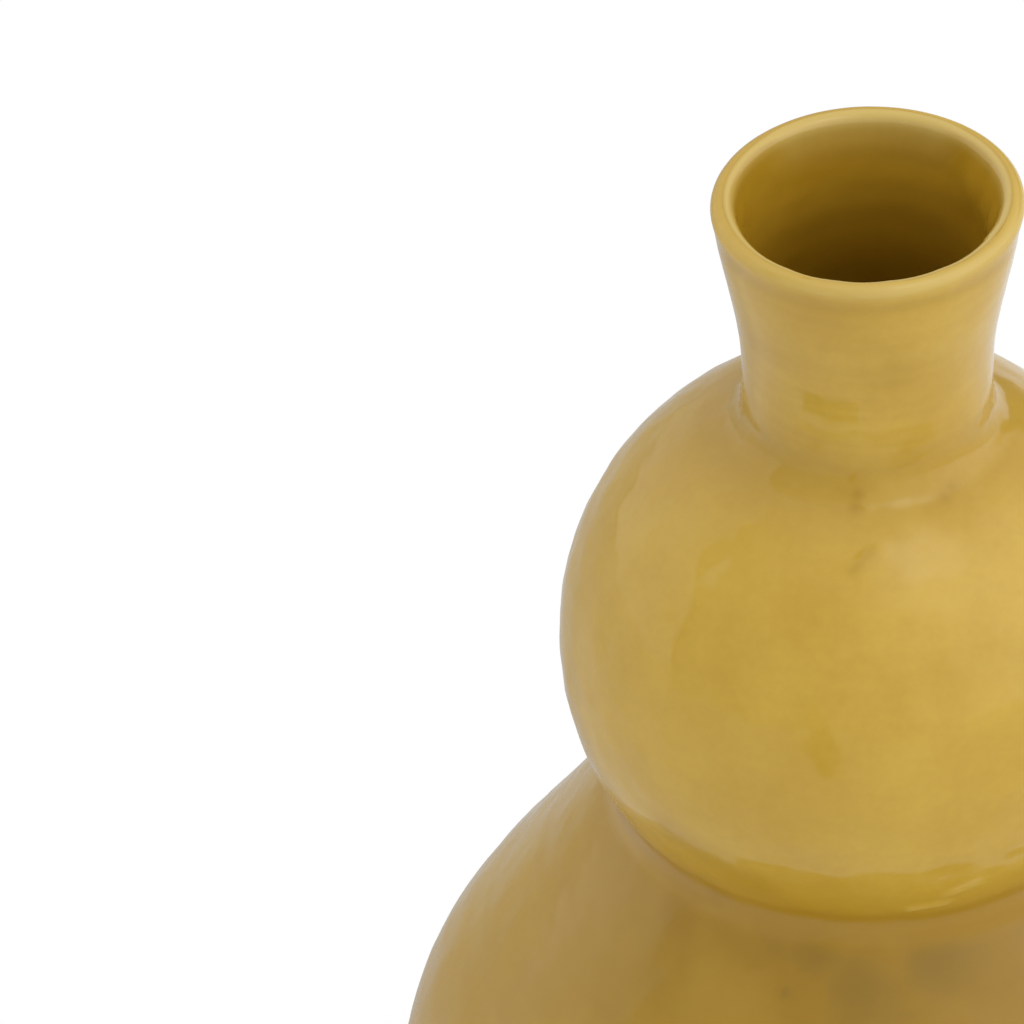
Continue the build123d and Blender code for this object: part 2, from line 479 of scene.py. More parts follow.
class Sheet:
    """Places nodes in a node tree and wires them."""

    def __init__(self, tree: Tree) -> None:
        """Takes the tree to fill."""
        self.tree = tree

    def feed(self, socket: Socket, value: Any) -> None:
        """Gives an input its value.

        Args:
            socket: Input of a node.
            value: A plain value, or an output socket to link.
        """
        if isinstance(value, Socket):
            self.tree.links.new(value, socket)
        else:
            socket.default_value = value

    def node(self, kind: str, inputs: Inputs | None = None, **settings: Any) -> Node:
        """Adds a node.

        Args:
            kind: Blender's name of the node type.
            inputs: Values or output sockets for the node's inputs, by name or number.
            settings: Properties of the node.

        Returns:
            The new node.
        """
        made = self.tree.nodes.new(kind)
        for name, value in settings.items():
            setattr(made, name, value)
        for name, value in (inputs or {}).items():
            self.feed(made.inputs[name], value)
        return made

    def put(self, kind: str, output: str | int, inputs: Inputs | None = None, **settings: Any) -> Socket:
        """Adds a node and gives one of its outputs by name or number."""
        return self.node(kind, inputs, **settings).outputs[output]

    def math(self, operation: str, *values: Any, clamp: bool = False) -> Socket:
        """A number worked out from numbers or sockets."""
        return self.put("ShaderNodeMath", 0, dict(enumerate(values)), operation=operation, use_clamp=clamp)

    def total(self, first: Any, *others: Any) -> Any:
        """The sum of numbers or sockets.

        Args:
            first: First of them.
            others: The rest.

        Returns:
            The socket of the sum.
        """
        for value in others:
            first = self.math("ADD", first, value)
        return first

    def product(self, first: Any, *others: Any) -> Any:
        """The product of numbers or sockets.

        Args:
            first: First of them.
            others: The rest.

        Returns:
            The socket of the product.
        """
        for value in others:
            first = self.math("MULTIPLY", first, value)
        return first

    def vector(self, operation: str, *values: Any) -> Socket:
        """A vector worked out from vectors or sockets."""
        return self.put("ShaderNodeVectorMath", 0, dict(enumerate(values)), operation=operation)

    def measured(self, operation: str, *values: Any) -> Socket:
        """A number worked out from vectors, such as a length."""
        return self.put("ShaderNodeVectorMath", "Value", dict(enumerate(values)), operation=operation)

    def scaled(self, vector: Any, factor: Any) -> Socket:
        """A vector times a number."""
        return self.put("ShaderNodeVectorMath", 0, {"Vector": vector, "Scale": factor}, operation="SCALE")

    def joined(self, *values: Any) -> Socket:
        """A vector made from up to three numbers."""
        return self.put("ShaderNodeCombineXYZ", 0, dict(enumerate(values)))

    def parted(self, vector: Socket) -> Sequence[Socket]:
        """The three numbers of a vector."""
        return self.node("ShaderNodeSeparateXYZ", {0: vector}).outputs

    def noise(self, vector: Any, scale: Any, detail: float = 2.0, roughness: float = 0.5) -> Socket:
        """Smooth noise about 0.5."""
        inputs = {"Vector": vector, "Scale": scale, "Detail": detail, "Roughness": roughness}
        return self.put("ShaderNodeTexNoise", 0, inputs)

    def graded(self, value: Any, low: Any, high: Any, to_low: Any = 0.0, to_high: Any = 1.0) -> Socket:
        """A value graded from one range to another, eased and held at its ends."""
        inputs = {"Value": value, "From Min": low, "From Max": high, "To Min": to_low, "To Max": to_high}
        return self.put("ShaderNodeMapRange", "Result", inputs, interpolation_type="SMOOTHSTEP")

    def between(self, share: Any, first: Any, second: Any) -> Socket:
        """A number between two numbers."""
        return self.put("ShaderNodeMix", 0, {"Factor": share, "A": first, "B": second})

    def mixed(self, share: Any, first: Any, second: Any) -> Socket:
        """A colour between two colours.

        Args:
            share: Share of the second colour.
            first: Colour or socket.
            second: Colour or socket.

        Returns:
            The socket of the mixed colour.
        """
        made = self.node("ShaderNodeMix", {"Factor": share}, data_type="RGBA")
        for name, value in (("A", first), ("B", second)):
            socket = next(s for s in made.inputs if s.name == name and s.type == "RGBA")
            self.feed(socket, value if isinstance(value, Socket) else (*value, 1.0))
        return next(s for s in made.outputs if s.type == "RGBA")


def blank_sheet(owner: Any) -> Sheet:
    """Empties the node tree of a material or a world.

    Args:
        owner: The material or world.

    Returns:
        A sheet for its nodes.
    """
    owner.use_nodes = True
    owner.node_tree.nodes.clear()
    return Sheet(owner.node_tree)


@dataclass(frozen=True)
class Throwing:
    """How unevenly the potter's hand leaves a wall; millimetres and radians."""

    segments: int = 270
    lump_size: float = 40.0
    lump_depth: float = 0.80
    knuckle_size: float = 9.0
    knuckle_depth: float = 0.34
    ring_pitch: float = 6.0
    ring_depth: float = 0.12
    lift: float = -0.08
    deepest: float = 0.44
    lip_drop: float = 1.63
    edge_wave: float = 1.2
    # Side towards which the outer coat's painted light and shade are laid.
    painted_side: float = radians(-65.0)
    seed: float = 3.7


class TurnedWall:
    """Geometry Nodes tree that turns an outline round the axis into a hand-thrown wall."""

    # Lengths of the throwing that the tree takes, under their names with capitals.
    LENGTHS = (
        "lump_size",
        "lump_depth",
        "knuckle_size",
        "knuckle_depth",
        "ring_pitch",
        "ring_depth",
        "lift",
        "deepest",
        "lip_drop",
        "edge_wave",
    )
    # Shares that each row of the outline carries.
    SHARES = ("free", "touch", "sunk", "lip", "edge", "pool", "flash", "hollow", "streak")
    # What is added to the seed for each kind of unevenness.
    SHIFTS = {"lumps": 0.0, "knuckles": 11.3, "rings": 5.1, "streaks": 2.3, "edge": 7.9}
    # How fast a ring changes round the wall, per metre, and how many streaks lie on it.
    RING_WANDER = 18.0
    STREAKS_PER_RING = 2.0
    # Length of a wave of the glaze's edge, in radii.
    EDGE_WAVE_SIZE = 0.28
    SOFT_STOP = 0.1 * MM
    WELD = 2e-6
    CRISP_FOLD = 0.8

    def __init__(self) -> None:
        """Builds the tree once for every piece that uses it."""
        self.tree = bpy.data.node_groups.new("turned_wall", "GeometryNodeTree")
        self.tree.is_modifier = True
        self.sockets: dict[str, str] = {}
        self._socket("Outline", "NodeSocketGeometry")
        self._socket("Segments", "NodeSocketInt")
        for name in (*map(self._title, self.LENGTHS), "Lip Radius", "Painted Side", "Seed"):
            self._socket(name, "NodeSocketFloat")
        self._socket("Marks", "NodeSocketObject")
        self._socket("Finish", "NodeSocketMaterial")
        self.tree.interface.new_socket(name="Wall", in_out="OUTPUT", socket_type="NodeSocketGeometry")
        self.sheet = Sheet(self.tree)
        self.given = self.sheet.node("NodeGroupInput").outputs
        self._wire()

    @staticmethod
    def _title(name: str) -> str:
        """Name of the input for a size."""
        return name.replace("_", " ").title()

    def _socket(self, name: str, kind: str) -> None:
        """Adds a named input and keeps its identifier."""
        made = self.tree.interface.new_socket(name=name, in_out="INPUT", socket_type=kind)
        self.sockets[name] = made.identifier

    def _wire(self) -> None:
        """Lays out the nodes from the bare grid to the finished wall."""
        sheet = self.sheet
        mesh = self._grid()
        self.spot = self._turned(self._of_row("position", "FLOAT_VECTOR"))
        self.spot_parts = sheet.parted(self.spot)
        relief, streaks = self._unevenness()
        press = self._press()
        rise = sheet.math("SUBTRACT", relief, sheet.product(press, self._of_mark("depth")))
        outward = self._turned(self._of_row("outward", "FLOAT_VECTOR"))
        moved = sheet.vector("ADD", self.spot, sheet.scaled(outward, rise))
        moved = sheet.vector("ADD", moved, self._lean())
        moved = sheet.vector("ADD", moved, self._edge_slide())
        pool, hollow = self._glaze_depth(press, streaks)
        for name, value in {"pool": pool, "hollow": hollow}.items():
            inputs = {"Geometry": mesh, "Name": name, "Value": value}
            mesh = sheet.put("GeometryNodeStoreNamedAttribute", 0, inputs, data_type="FLOAT", domain="POINT")
        self._close(sheet.put("GeometryNodeSetPosition", 0, {"Geometry": mesh, "Position": moved}))

    def _grid(self) -> Socket:
        """Makes a grid with a row for each point of the outline, and finds each point's row and angle.

        Returns:
            The grid's mesh.
        """
        sheet, segments = self.sheet, self.given["Segments"]
        outline = {"Geometry": self.given["Outline"]}
        rows = sheet.put("GeometryNodeAttributeDomainSize", "Point Count", outline, component="MESH")
        last_row = sheet.math("SUBTRACT", rows, 1)
        columns = sheet.math("ADD", segments, 1)
        size = {"Size X": last_row, "Size Y": segments, "Vertices X": rows, "Vertices Y": columns}
        parts = sheet.parted(sheet.put("GeometryNodeInputPosition", 0))
        self.row = sheet.math("ROUND", sheet.math("MULTIPLY_ADD", last_row, 0.5, parts[0]))
        column = sheet.math("ROUND", sheet.math("MULTIPLY_ADD", segments, 0.5, parts[1]))
        turns = sheet.math("DIVIDE", sheet.math("FLOORED_MODULO", column, segments), segments)
        self.angle = sheet.product(turns, tau)
        return sheet.put("GeometryNodeMeshGrid", "Mesh", size)

    def _sampled(self, geometry: Socket, index: Socket, name: str, kind: str) -> Socket:
        """Value of an attribute at one point of a geometry.

        Args:
            geometry: The geometry.
            index: Number of the point.
            name: Name of the attribute, or position.
            kind: Data type.

        Returns:
            The socket of the value.
        """
        if name == "position":
            value = self.sheet.put("GeometryNodeInputPosition", 0)
        else:
            named = {"Name": name}
            value = self.sheet.put("GeometryNodeInputNamedAttribute", "Attribute", named, data_type=kind)
        inputs = {"Geometry": geometry, "Value": value, "Index": index}
        return self.sheet.put("GeometryNodeSampleIndex", 0, inputs, data_type=kind, domain="POINT")

    def _of_row(self, name: str, kind: str = "FLOAT") -> Socket:
        """Value of an outline attribute on this row."""
        return self._sampled(self.given["Outline"], self.row, name, kind)

    def _of_mark(self, name: str, kind: str = "FLOAT") -> Socket:
        """Value of the nearest mark."""
        return self._sampled(self.marks, self.nearest, name, kind)

    def _turned(self, vector: Socket) -> Socket:
        """A vector of the section, turned to this column."""
        inputs = {"Vector": vector, "Angle": self.angle}
        return self.sheet.put("ShaderNodeVectorRotate", 0, inputs, rotation_type="Z_AXIS")

    def _bumps(self, kind: str, vector: Socket, size: Any, depth: Any) -> Socket:
        """Rises and falls of one kind.

        Args:
            kind: Which of the shifts of the seed it takes.
            vector: Where the noise is read.
            size: Size of a rise.
            depth: Height of a rise.

        Returns:
            The socket of the height.
        """
        sheet = self.sheet
        seed = sheet.math("ADD", self.given["Seed"], self.SHIFTS[kind])
        shrunk = sheet.scaled(vector, sheet.math("DIVIDE", 1.0, size))
        level = sheet.noise(sheet.vector("ADD", shrunk, sheet.joined(seed, seed, seed)), 1.0, 1.0)
        return sheet.product(sheet.math("SUBTRACT", level, 0.5), 2.0, depth)

    def _unevenness(self) -> tuple[Socket, Socket]:
        """Relief of the wall, and the streaks in the glaze's depth.

        Returns:
            The sockets of both.
        """
        sheet, given = self.sheet, self.given
        lumps = self._bumps("lumps", self.spot, given["Lump Size"], given["Lump Depth"])
        knuckles = self._bumps("knuckles", self.spot, given["Knuckle Size"], given["Knuckle Depth"])
        wander = [sheet.product(part, self.RING_WANDER) for part in self.spot_parts[:2]]
        around = sheet.joined(*wander, sheet.math("DIVIDE", self._of_row("run"), given["Ring Pitch"]))
        rings = self._bumps("rings", around, 1.0, given["Ring Depth"])
        finer = sheet.vector("MULTIPLY", around, (1.0, 1.0, self.STREAKS_PER_RING))
        streaks = self._bumps("streaks", finer, 1.0, self._of_row("streak"))
        uneven = sheet.product(sheet.total(lumps, given["Lift"], knuckles, rings), self._of_row("free"))
        relief = sheet.math("SUBTRACT", uneven, self._of_row("sunk"))
        lowest = sheet.product(given["Deepest"], -1.0)
        return sheet.math("SMOOTH_MAX", relief, lowest, self.SOFT_STOP), streaks

    def _press(self) -> Socket:
        """How much of the nearest mark is felt here.

        Returns:
            The socket of the share.
        """
        sheet = self.sheet
        self.marks = sheet.put("GeometryNodeObjectInfo", "Geometry", {"Object": self.given["Marks"]})
        inputs = {"Geometry": self.marks, "Sample Position": self.spot}
        self.nearest = sheet.put("GeometryNodeSampleNearest", 0, inputs, domain="POINT")
        gap = sheet.measured("DISTANCE", self.spot, self._of_mark("position", "FLOAT_VECTOR"))
        near = sheet.math("DIVIDE", gap, self._of_mark("radius"))
        fading = sheet.math("EXPONENT", sheet.product(near, near, -1.0))
        return sheet.product(fading, self._of_row("touch"))

    def _lean(self) -> Socket:
        """How far the lip sinks on one side.

        Returns:
            The socket of the move.
        """
        sheet, lip_r = self.sheet, self.given["Lip Radius"]
        lean = sheet.math("DIVIDE", sheet.math("SUBTRACT", self.spot_parts[0], lip_r), lip_r)
        sink = sheet.product(lean, self.given["Lip Drop"], 0.5, self._of_row("lip"))
        return sheet.joined(0.0, 0.0, sink)

    def _edge_slide(self) -> Socket:
        """How far the glaze's edge runs down or stops short.

        Returns:
            The socket of the move.
        """
        sheet = self.sheet
        circle = sheet.joined(sheet.math("COSINE", self.angle), sheet.math("SINE", self.angle))
        wave = self._bumps("edge", circle, self.EDGE_WAVE_SIZE, self.given["Edge Wave"])
        along = self._turned(self._of_row("along", "FLOAT_VECTOR"))
        return sheet.scaled(along, sheet.product(wave, self._of_row("edge")))

    def _glaze_depth(self, press: Socket, streaks: Socket) -> tuple[Socket, Socket]:
        """How deep the glaze lies, with painted shade and light among it, and how far it is in the hollow of
        the crease.

        Args:
            press: Share of the nearest mark.
            streaks: Streaks of deeper glaze.

        Returns:
            The sockets of both.
        """
        sheet = self.sheet
        # Painted light and shade, laid on to one side of the vase.
        facing = sheet.math("COSINE", sheet.math("SUBTRACT", self.angle, self.given["Painted Side"]))
        flash = sheet.product(sheet.math("ADD", facing, 1.0), self._of_row("flash"), 0.5)
        pool = sheet.total(self._of_row("pool"), flash, streaks)
        pool = sheet.math("MULTIPLY_ADD", press, self._of_mark("tone"), pool)
        bead = sheet.product(press, sheet.math("LESS_THAN", self._of_mark("depth"), 0.0))
        clear = sheet.math("SUBTRACT", 1.0, bead, clamp=True)
        return pool, sheet.product(self._of_row("hollow"), clear)

    def _close(self, shaped: Socket) -> None:
        """Closes the seam and the poles, shades the wall and gives it its finish.

        Args:
            shaped: The grid in its place.
        """
        sheet, soften = self.sheet, "GeometryNodeSetShadeSmooth"
        closed = sheet.put("GeometryNodeMergeByDistance", 0, {"Geometry": shaped, "Distance": self.WELD})
        soft = sheet.put(soften, 0, {0: closed, "Shade Smooth": True}, domain="FACE")
        fold = sheet.put("GeometryNodeInputMeshEdgeAngle", "Unsigned Angle")
        crisp = {"Selection": sheet.math("GREATER_THAN", fold, self.CRISP_FOLD), "Shade Smooth": False}
        soft = sheet.put(soften, 0, {0: soft} | crisp, domain="EDGE")
        real = sheet.put("GeometryNodeRealizeInstances", 0, {0: soft})
        dressed = sheet.put("GeometryNodeSetMaterial", 0, {0: real, "Material": self.given["Finish"]})
        sheet.node("NodeGroupOutput", {0: dressed})

    def shape(
        self,
        name: str,
        outline: Outline,
        weights: Callable[[Point, Face], Weights],
        throwing: Throwing,
        marks: Sequence[Mark],
        finish: Finish,
    ) -> Piece:
        """Turns an outline into a finished piece.

        Args:
            name: Name of the piece.
            outline: Section of the piece.
            weights: Gives the shares of a point of the section.
            throwing: Unevenness of the wall.
            marks: Marks left in the wall.
            finish: Material.

        Returns:
            The piece as a plain mesh object at the origin.
        """
        blank = self._blank(name, outline, weights)
        touched = self._marks_object(marks)
        modifier = blank.modifiers.new("turned_wall", "NODES")
        modifier.node_group = self.tree
        values = {self._title(key): getattr(throwing, key) * MM for key in self.LENGTHS} | {
            "Segments": throwing.segments,
            "Lip Radius": (profile.lip.r + profile.lip.radius) * MM,
            "Painted Side": throwing.painted_side,
            "Seed": throwing.seed,
            "Marks": touched,
            "Finish": finish,
        }
        for key, value in values.items():
            modifier[self.sockets[key]] = value
        graph = bpy.context.evaluated_depsgraph_get()
        baked = bpy.data.meshes.new_from_object(blank.evaluated_get(graph), depsgraph=graph)
        baked.name = name
        bpy.data.objects.remove(blank)
        bpy.data.objects.remove(touched)
        return linked(name, baked)

    def _blank(self, name: str, outline: Outline, weights: Callable[[Point, Face], Weights]) -> Piece:
        """Line of the section with the shares of each of its points.

        Args:
            name: Name of the piece.
            outline: Section of the piece.
            weights: Gives the shares of a point.

        Returns:
            A mesh object of edges.
        """
        points, outward, faces = list(outline.points), outline.outward(), list(outline.faces)
        if points[0][0] > SAME_PLACE:
            for listed in (points, outward, faces):
                listed.append(listed[0])
        mesh = bpy.data.meshes.new(name)
        edges = [(i, i + 1) for i in range(len(points) - 1)]
        mesh.from_pydata([(r * MM, 0, z * MM) for r, z in points], edges, [])
        graded = [weights(point, face) for point, face in zip(points, faces)]
        columns = {key: [row.get(key, 0.0) for row in graded] for key in self.SHARES}
        columns["sunk"] = [depth * MM for depth in columns["sunk"]]
        columns["run"] = [0.0]
        for a, b in zip(points, points[1:]):
            columns["run"].append(columns["run"][-1] + hypot(b[0] - a[0], b[1] - a[1]) * MM)
        for key, values in columns.items():
            mesh.attributes.new(key, "FLOAT", "POINT").data.foreach_set("value", values)
        for key, ways in {"outward": outward, "along": [(-z, r) for r, z in outward]}.items():
            flat = [part for r, z in ways for part in (r, 0.0, z)]
            mesh.attributes.new(key, "FLOAT_VECTOR", "POINT").data.foreach_set("vector", flat)
        return linked(name + "_outline", mesh)

    @staticmethod
    def _marks_object(marks: Sequence[Mark]) -> Piece:
        """Points that carry the marks.

        Args:
            marks: The marks; none gives one point without depth or tone.

        Returns:
            A mesh object of loose points.
        """
        listed = list(marks) or [Mark(0.0, 0.0, 0.0, 1.0)]
        mesh = bpy.data.meshes.new("hand_marks")
        turns = [radians(mark.angle) for mark in listed]
        places = [(m.r * cos(a) * MM, m.r * sin(a) * MM, m.height * MM) for m, a in zip(listed, turns)]
        mesh.from_pydata(places, [], [])
        for key, unit in {"radius": MM, "depth": MM, "tone": 1.0}.items():
            values = [getattr(mark, key) * unit for mark in listed]
            mesh.attributes.new(key, "FLOAT", "POINT").data.foreach_set("value", values)
        return linked("hand_marks", mesh)


class Effects:
    """Shader node groups shared by the glaze, the bare clay and the slip."""

    DETAIL = 3.0
    BROAD_ROUGHNESS = 0.55
    FINE_ROUGHNESS = 0.6
    MOTTLE_SPREAD = (0.28, 0.72)
    SMALLEST_SPECK = 0.5
    SPECK_CORE = 0.5
    LEVEL_STRETCH = (0.05, 0.05, 1.0)

    def __init__(self) -> None:
        """Builds each group once."""
        self.mottle = self._mottle()
        self.specks = self._specks()
        self.skin = self._skin()

    @staticmethod
    def _group(name: str, inputs: dict[str, float], output: str) -> tuple[Sheet, Any, Socket]:
        """Starts a group.

        Args:
            name: Name of the group.
            inputs: Named number inputs with their usual values.
            output: Name of its number output.

        Returns:
            A sheet to fill it, its input sockets and the object's own coordinates.
        """
        tree = bpy.data.node_groups.new(name, "ShaderNodeTree")
        for key, value in inputs.items():
            made = tree.interface.new_socket(name=key, in_out="INPUT", socket_type="NodeSocketFloat")
            made.default_value = value
        tree.interface.new_socket(name=output, in_out="OUTPUT", socket_type="NodeSocketFloat")
        sheet = Sheet(tree)
        return sheet, sheet.node("NodeGroupInput").outputs, sheet.put("ShaderNodeTexCoord", "Object")

    def _mottle(self) -> Tree:
        """Cloudy patches broken by finer ones.

        Returns:
            The group, which puts out a mask about 0.5.
        """
        usual = {"Patch": 30.0, "Fine": 350.0, "Fine Share": 0.3}
        sheet, given, place = self._group("fired_mottle", usual, "Mask")
        broad = sheet.noise(place, given["Patch"], self.DETAIL, self.BROAD_ROUGHNESS)
        fine = sheet.noise(place, given["Fine"], self.DETAIL, self.FINE_ROUGHNESS)
        mask = sheet.graded(sheet.between(given["Fine Share"], broad, fine), *self.MOTTLE_SPREAD)
        sheet.node("NodeGroupOutput", {0: mask})
        return sheet.tree

    def _specks(self) -> Tree:
        """Sparse small spots.

        Returns:
            The group, which puts out a mask.
        """
        usual = {"Scale": 90.0, "Size": 0.05, "Share": 0.1}
        sheet, given, place = self._group("fired_specks", usual, "Mask")
        cells = sheet.node("ShaderNodeTexVoronoi", {"Vector": place, "Scale": given["Scale"]}).outputs
        chance = sheet.node("ShaderNodeSeparateColor", {0: cells["Color"]}).outputs
        chosen = sheet.math("LESS_THAN", chance[0], given["Share"])
        width = sheet.product(given["Size"], sheet.graded(chance[1], 0.0, 1.0, self.SMALLEST_SPECK, 1.0))
        spot = sheet.graded(cells["Distance"], sheet.product(width, self.SPECK_CORE), width, 1.0, 0.0)
        sheet.node("NodeGroupOutput", {0: sheet.product(spot, chosen)})
        return sheet.tree

    def _skin(self) -> Tree:
        """Fine unevenness of a fired skin, with faint level lines from the wheel.

        Returns:
            The group, which puts out a height.
        """
        usual = {"Grain": 900.0, "Line": 450.0, "Line Share": 0.3}
        sheet, given, place = self._group("fired_skin", usual, "Height")
        grain = sheet.noise(place, given["Grain"], self.DETAIL, self.FINE_ROUGHNESS)
        lines = sheet.noise(sheet.vector("MULTIPLY", place, self.LEVEL_STRETCH), given["Line"])
        sheet.node("NodeGroupOutput", {0: sheet.between(given["Line Share"], grain, lines)})
        return sheet.tree

    @staticmethod
    def placed(sheet: Sheet, group: Tree, values: dict[str, float]) -> Socket:
        """Puts a group with its own values into a material and gives its output."""
        return sheet.put("ShaderNodeGroup", 0, values, node_tree=group)


def new_material(name: str) -> tuple[Finish, Sheet, Node]:
    """Starts a material.

    Args:
        name: Name of the material.

    Returns:
        The material, a sheet for its nodes and its wired Principled shader.
    """
    material = bpy.data.materials.new(name)
    sheet = blank_sheet(material)
    shader = sheet.node("ShaderNodeBsdfPrincipled")
    sheet.node("ShaderNodeOutputMaterial", {"Surface": shader.outputs[0]})
    return material, sheet, shader


@dataclass(frozen=True)
class OchreGlaze:
    """Glossy ochre glaze, deeper where it pools and where shade is painted on, and paler where it runs thin
    and where light is painted on.
    """

    MOTTLE: ClassVar[dict[str, float]] = {"Patch": 32.0, "Fine": 420.0, "Fine Share": 0.22}
    CLOUDS: ClassVar[dict[str, float]] = {"Patch": 16.0, "Fine": 60.0, "Fine Share": 0.2}
    SPECKS: ClassVar[dict[str, float]] = {"Scale": 75.0, "Size": 0.035, "Share": 0.05}
    SKIN: ClassVar[dict[str, float]] = {"Grain": 520.0, "Line": 300.0, "Line Share": 0.45}
    # How much the clouds thin or deepen the glaze, and from which depth on it darkens further into painted
    # shade.
    CLOUDING: ClassVar[Span] = (0.75, 1.15)
    DEEPENING: ClassVar[Span] = (1.0, 1.6)
    # Share of the crease's colour in its hollow: pooled glaze with painted shade.
    CREASE_SHADE_SHARE: ClassVar[float] = 0.5
    # From which depth to which the gloss is dulled, how far a speck is sunk, and the skin's relief.
    DULLING: ClassVar[Span] = (0.2, 1.0)
    SPECK_PIT: ClassVar[float] = 0.8
    SKIN_STRENGTH: ClassVar[float] = 0.25
    SKIN_HEIGHT: ClassVar[float] = 0.0001
    IOR: ClassVar[float] = 1.5

    name: str = "ochre_glaze"
    body: Colour = (0.53, 0.322, 0.030)
    light: Colour = (0.61, 0.392, 0.046)
    pooled: Colour = (0.345, 0.190, 0.005)
    # Darkest glaze, reached mostly where shade is painted on.
    deep: Colour = (0.28, 0.158, 0.006)
    # Pooled glaze with painted shade, laid in the hollow of the crease.
    crease: Colour = (0.42, 0.225, 0.004)
    thin: Colour = (0.63, 0.450, 0.120)
    speck: Colour = (0.10, 0.055, 0.02)
    gloss: Span = (0.07, 0.11)
    pooled_dulling: float = 0.13
    crease_dulling: float = 0.2
    dullest: float = 0.26

    def material(self, effects: Effects) -> Finish:
        """Builds the material.

        Args:
            effects: Shared node groups.

        Returns:
            The glaze material.
        """
        material, sheet, shader = new_material(self.name)
        mottle = effects.placed(sheet, effects.mottle, self.MOTTLE)
        clouds = effects.placed(sheet, effects.mottle, self.CLOUDS)
        specks = effects.placed(sheet, effects.specks, self.SPECKS)
        skin = effects.placed(sheet, effects.skin, self.SKIN)
        pool = sheet.put("ShaderNodeAttribute", "Fac", attribute_name="pool")
        hollow = sheet.put("ShaderNodeAttribute", "Fac", attribute_name="hollow")
        depth = sheet.product(pool, sheet.graded(clouds, 0.0, 1.0, *self.CLOUDING))
        thinness = sheet.math("MAXIMUM", sheet.product(pool, -1.0), 0.0)
        colour = sheet.mixed(mottle, self.body, self.light)
        colour = sheet.mixed(sheet.math("MAXIMUM", depth, 0.0), colour, self.pooled)
        # Painted shade in the hollow of the crease, with its pooled glaze.
        colour = sheet.mixed(sheet.product(hollow, self.CREASE_SHADE_SHARE), colour, self.crease)
        colour = sheet.mixed(sheet.graded(depth, *self.DEEPENING), colour, self.deep)
        colour = sheet.mixed(thinness, colour, self.thin)
        colour = sheet.mixed(specks, colour, self.speck)
        rough = sheet.graded(mottle, 0.0, 1.0, *self.gloss)
        dulled = sheet.graded(pool, *self.DULLING)
        rough = sheet.math("MULTIPLY_ADD", dulled, self.pooled_dulling, rough)
        rough = sheet.math("MULTIPLY_ADD", hollow, self.crease_dulling, rough)
        rough = sheet.math("MINIMUM", rough, self.dullest)
        height = sheet.math("SUBTRACT", skin, sheet.product(specks, self.SPECK_PIT))
        relief = {"Height": height, "Strength": self.SKIN_STRENGTH, "Distance": self.SKIN_HEIGHT}
        bump = sheet.put("ShaderNodeBump", 0, relief)
        surface = {"Base Color": colour, "Roughness": rough, "Normal": bump, "IOR": self.IOR}
        for key, value in surface.items():
            sheet.feed(shader.inputs[key], value)
        return material


@dataclass(frozen=True)
class BareStoneware:
    """Unglazed stoneware, matt and slightly speckled; also the slip, which is finer and paler."""

    MOTTLE: ClassVar[dict[str, float]] = {"Patch": 45.0, "Fine": 700.0, "Fine Share": 0.5}
    SPECKS: ClassVar[dict[str, float]] = {"Scale": 380.0, "Size": 0.16}
    SKIN: ClassVar[dict[str, float]] = {"Line": 900.0, "Line Share": 0.35}
    SPECK_DEPTH: ClassVar[float] = 0.7
    # The skin's heights between which the clay turns from less to more matt.
    SKIN_SPAN: ClassVar[Span] = (0.3, 0.7)
    MATT: ClassVar[Span] = (0.72, 0.9)
    SKIN_STRENGTH: ClassVar[float] = 0.6

    name: str = "bare_stoneware"
    body: Colour = (0.50, 0.40, 0.29)
    light: Colour = (0.60, 0.50, 0.38)
    speck: Colour = (0.20, 0.12, 0.07)
    speck_share: float = 0.25
    grain: float = 900.0
    relief: float = 0.0003

    def material(self, effects: Effects) -> Finish:
        """Builds the material.

        Args:
            effects: Shared node groups.

        Returns:
            The clay material.
        """
        material, sheet, shader = new_material(self.name)
        mottle = effects.placed(sheet, effects.mottle, self.MOTTLE)
        specks = effects.placed(sheet, effects.specks, self.SPECKS | {"Share": self.speck_share})
        skin = effects.placed(sheet, effects.skin, self.SKIN | {"Grain": self.grain})
        colour = sheet.mixed(mottle, self.body, self.light)
        colour = sheet.mixed(sheet.product(specks, self.SPECK_DEPTH), colour, self.speck)
        rough = sheet.graded(skin, *self.SKIN_SPAN, *self.MATT)
        relief = {"Height": skin, "Strength": self.SKIN_STRENGTH, "Distance": self.relief}
        bump = sheet.put("ShaderNodeBump", 0, relief)
        for key, value in {"Base Color": colour, "Roughness": rough, "Normal": bump}.items():
            sheet.feed(shader.inputs[key], value)
        return material


@dataclass
class Workshop:
    """What every sub-assembly draws on: the turning tree and the finishes."""

    wall: TurnedWall
    glaze: Finish
    inner_glaze: Finish
    clay: Finish
    slip: Finish


def settle(piece: Piece, node: str) -> None:
    """Lets a built piece stand for its CAD node.

    Args:
        piece: The built piece.
        node: Name of the CAD node.
    """
    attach(piece, "root")
    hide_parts(node)
    log.info("%s: %d faces, stands for %s", piece.name, len(piece.data.polygons), node)


def dress_nodes(material: Finish, *nodes: str) -> None:
    """Gives CAD nodes that stay their finish.

    Args:
        material: The finish.
        nodes: Names of the CAD nodes.
    """
    for node in nodes:
        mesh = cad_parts[node].data
        mesh.materials.clear()
        mesh.materials.append(material)
        log.info("%s: CAD solid in %s", node, material.name)


def plain(point: Point, face: Face) -> Weights:
    """Weights of a clay piece without lip or glaze edge."""
    return {"free": 1.0 if face is Face.FREE else 0.0}


# Heights from the centre of the lip's round: where the clay begins to follow a dent, and the lip's flanks.
DENTED = (-22.0, -8.0)
FLANKS = (-1.5, 1.0)

lip_dents = trail((-136.0, 381.5, 33.5), (-48.0, 381.5, 33.5), 5, 10.0, 0.5)


def leaning(z: float, touch: int) -> Weights:
    """Weights that lean a wall with the lip and, with touch 1 or -1, dent it from one side or the other."""
    return {"lip": smooth(profile.root.z, profile.lip_z, z), "touch": touch * profile.from_lip(DENTED, z)}


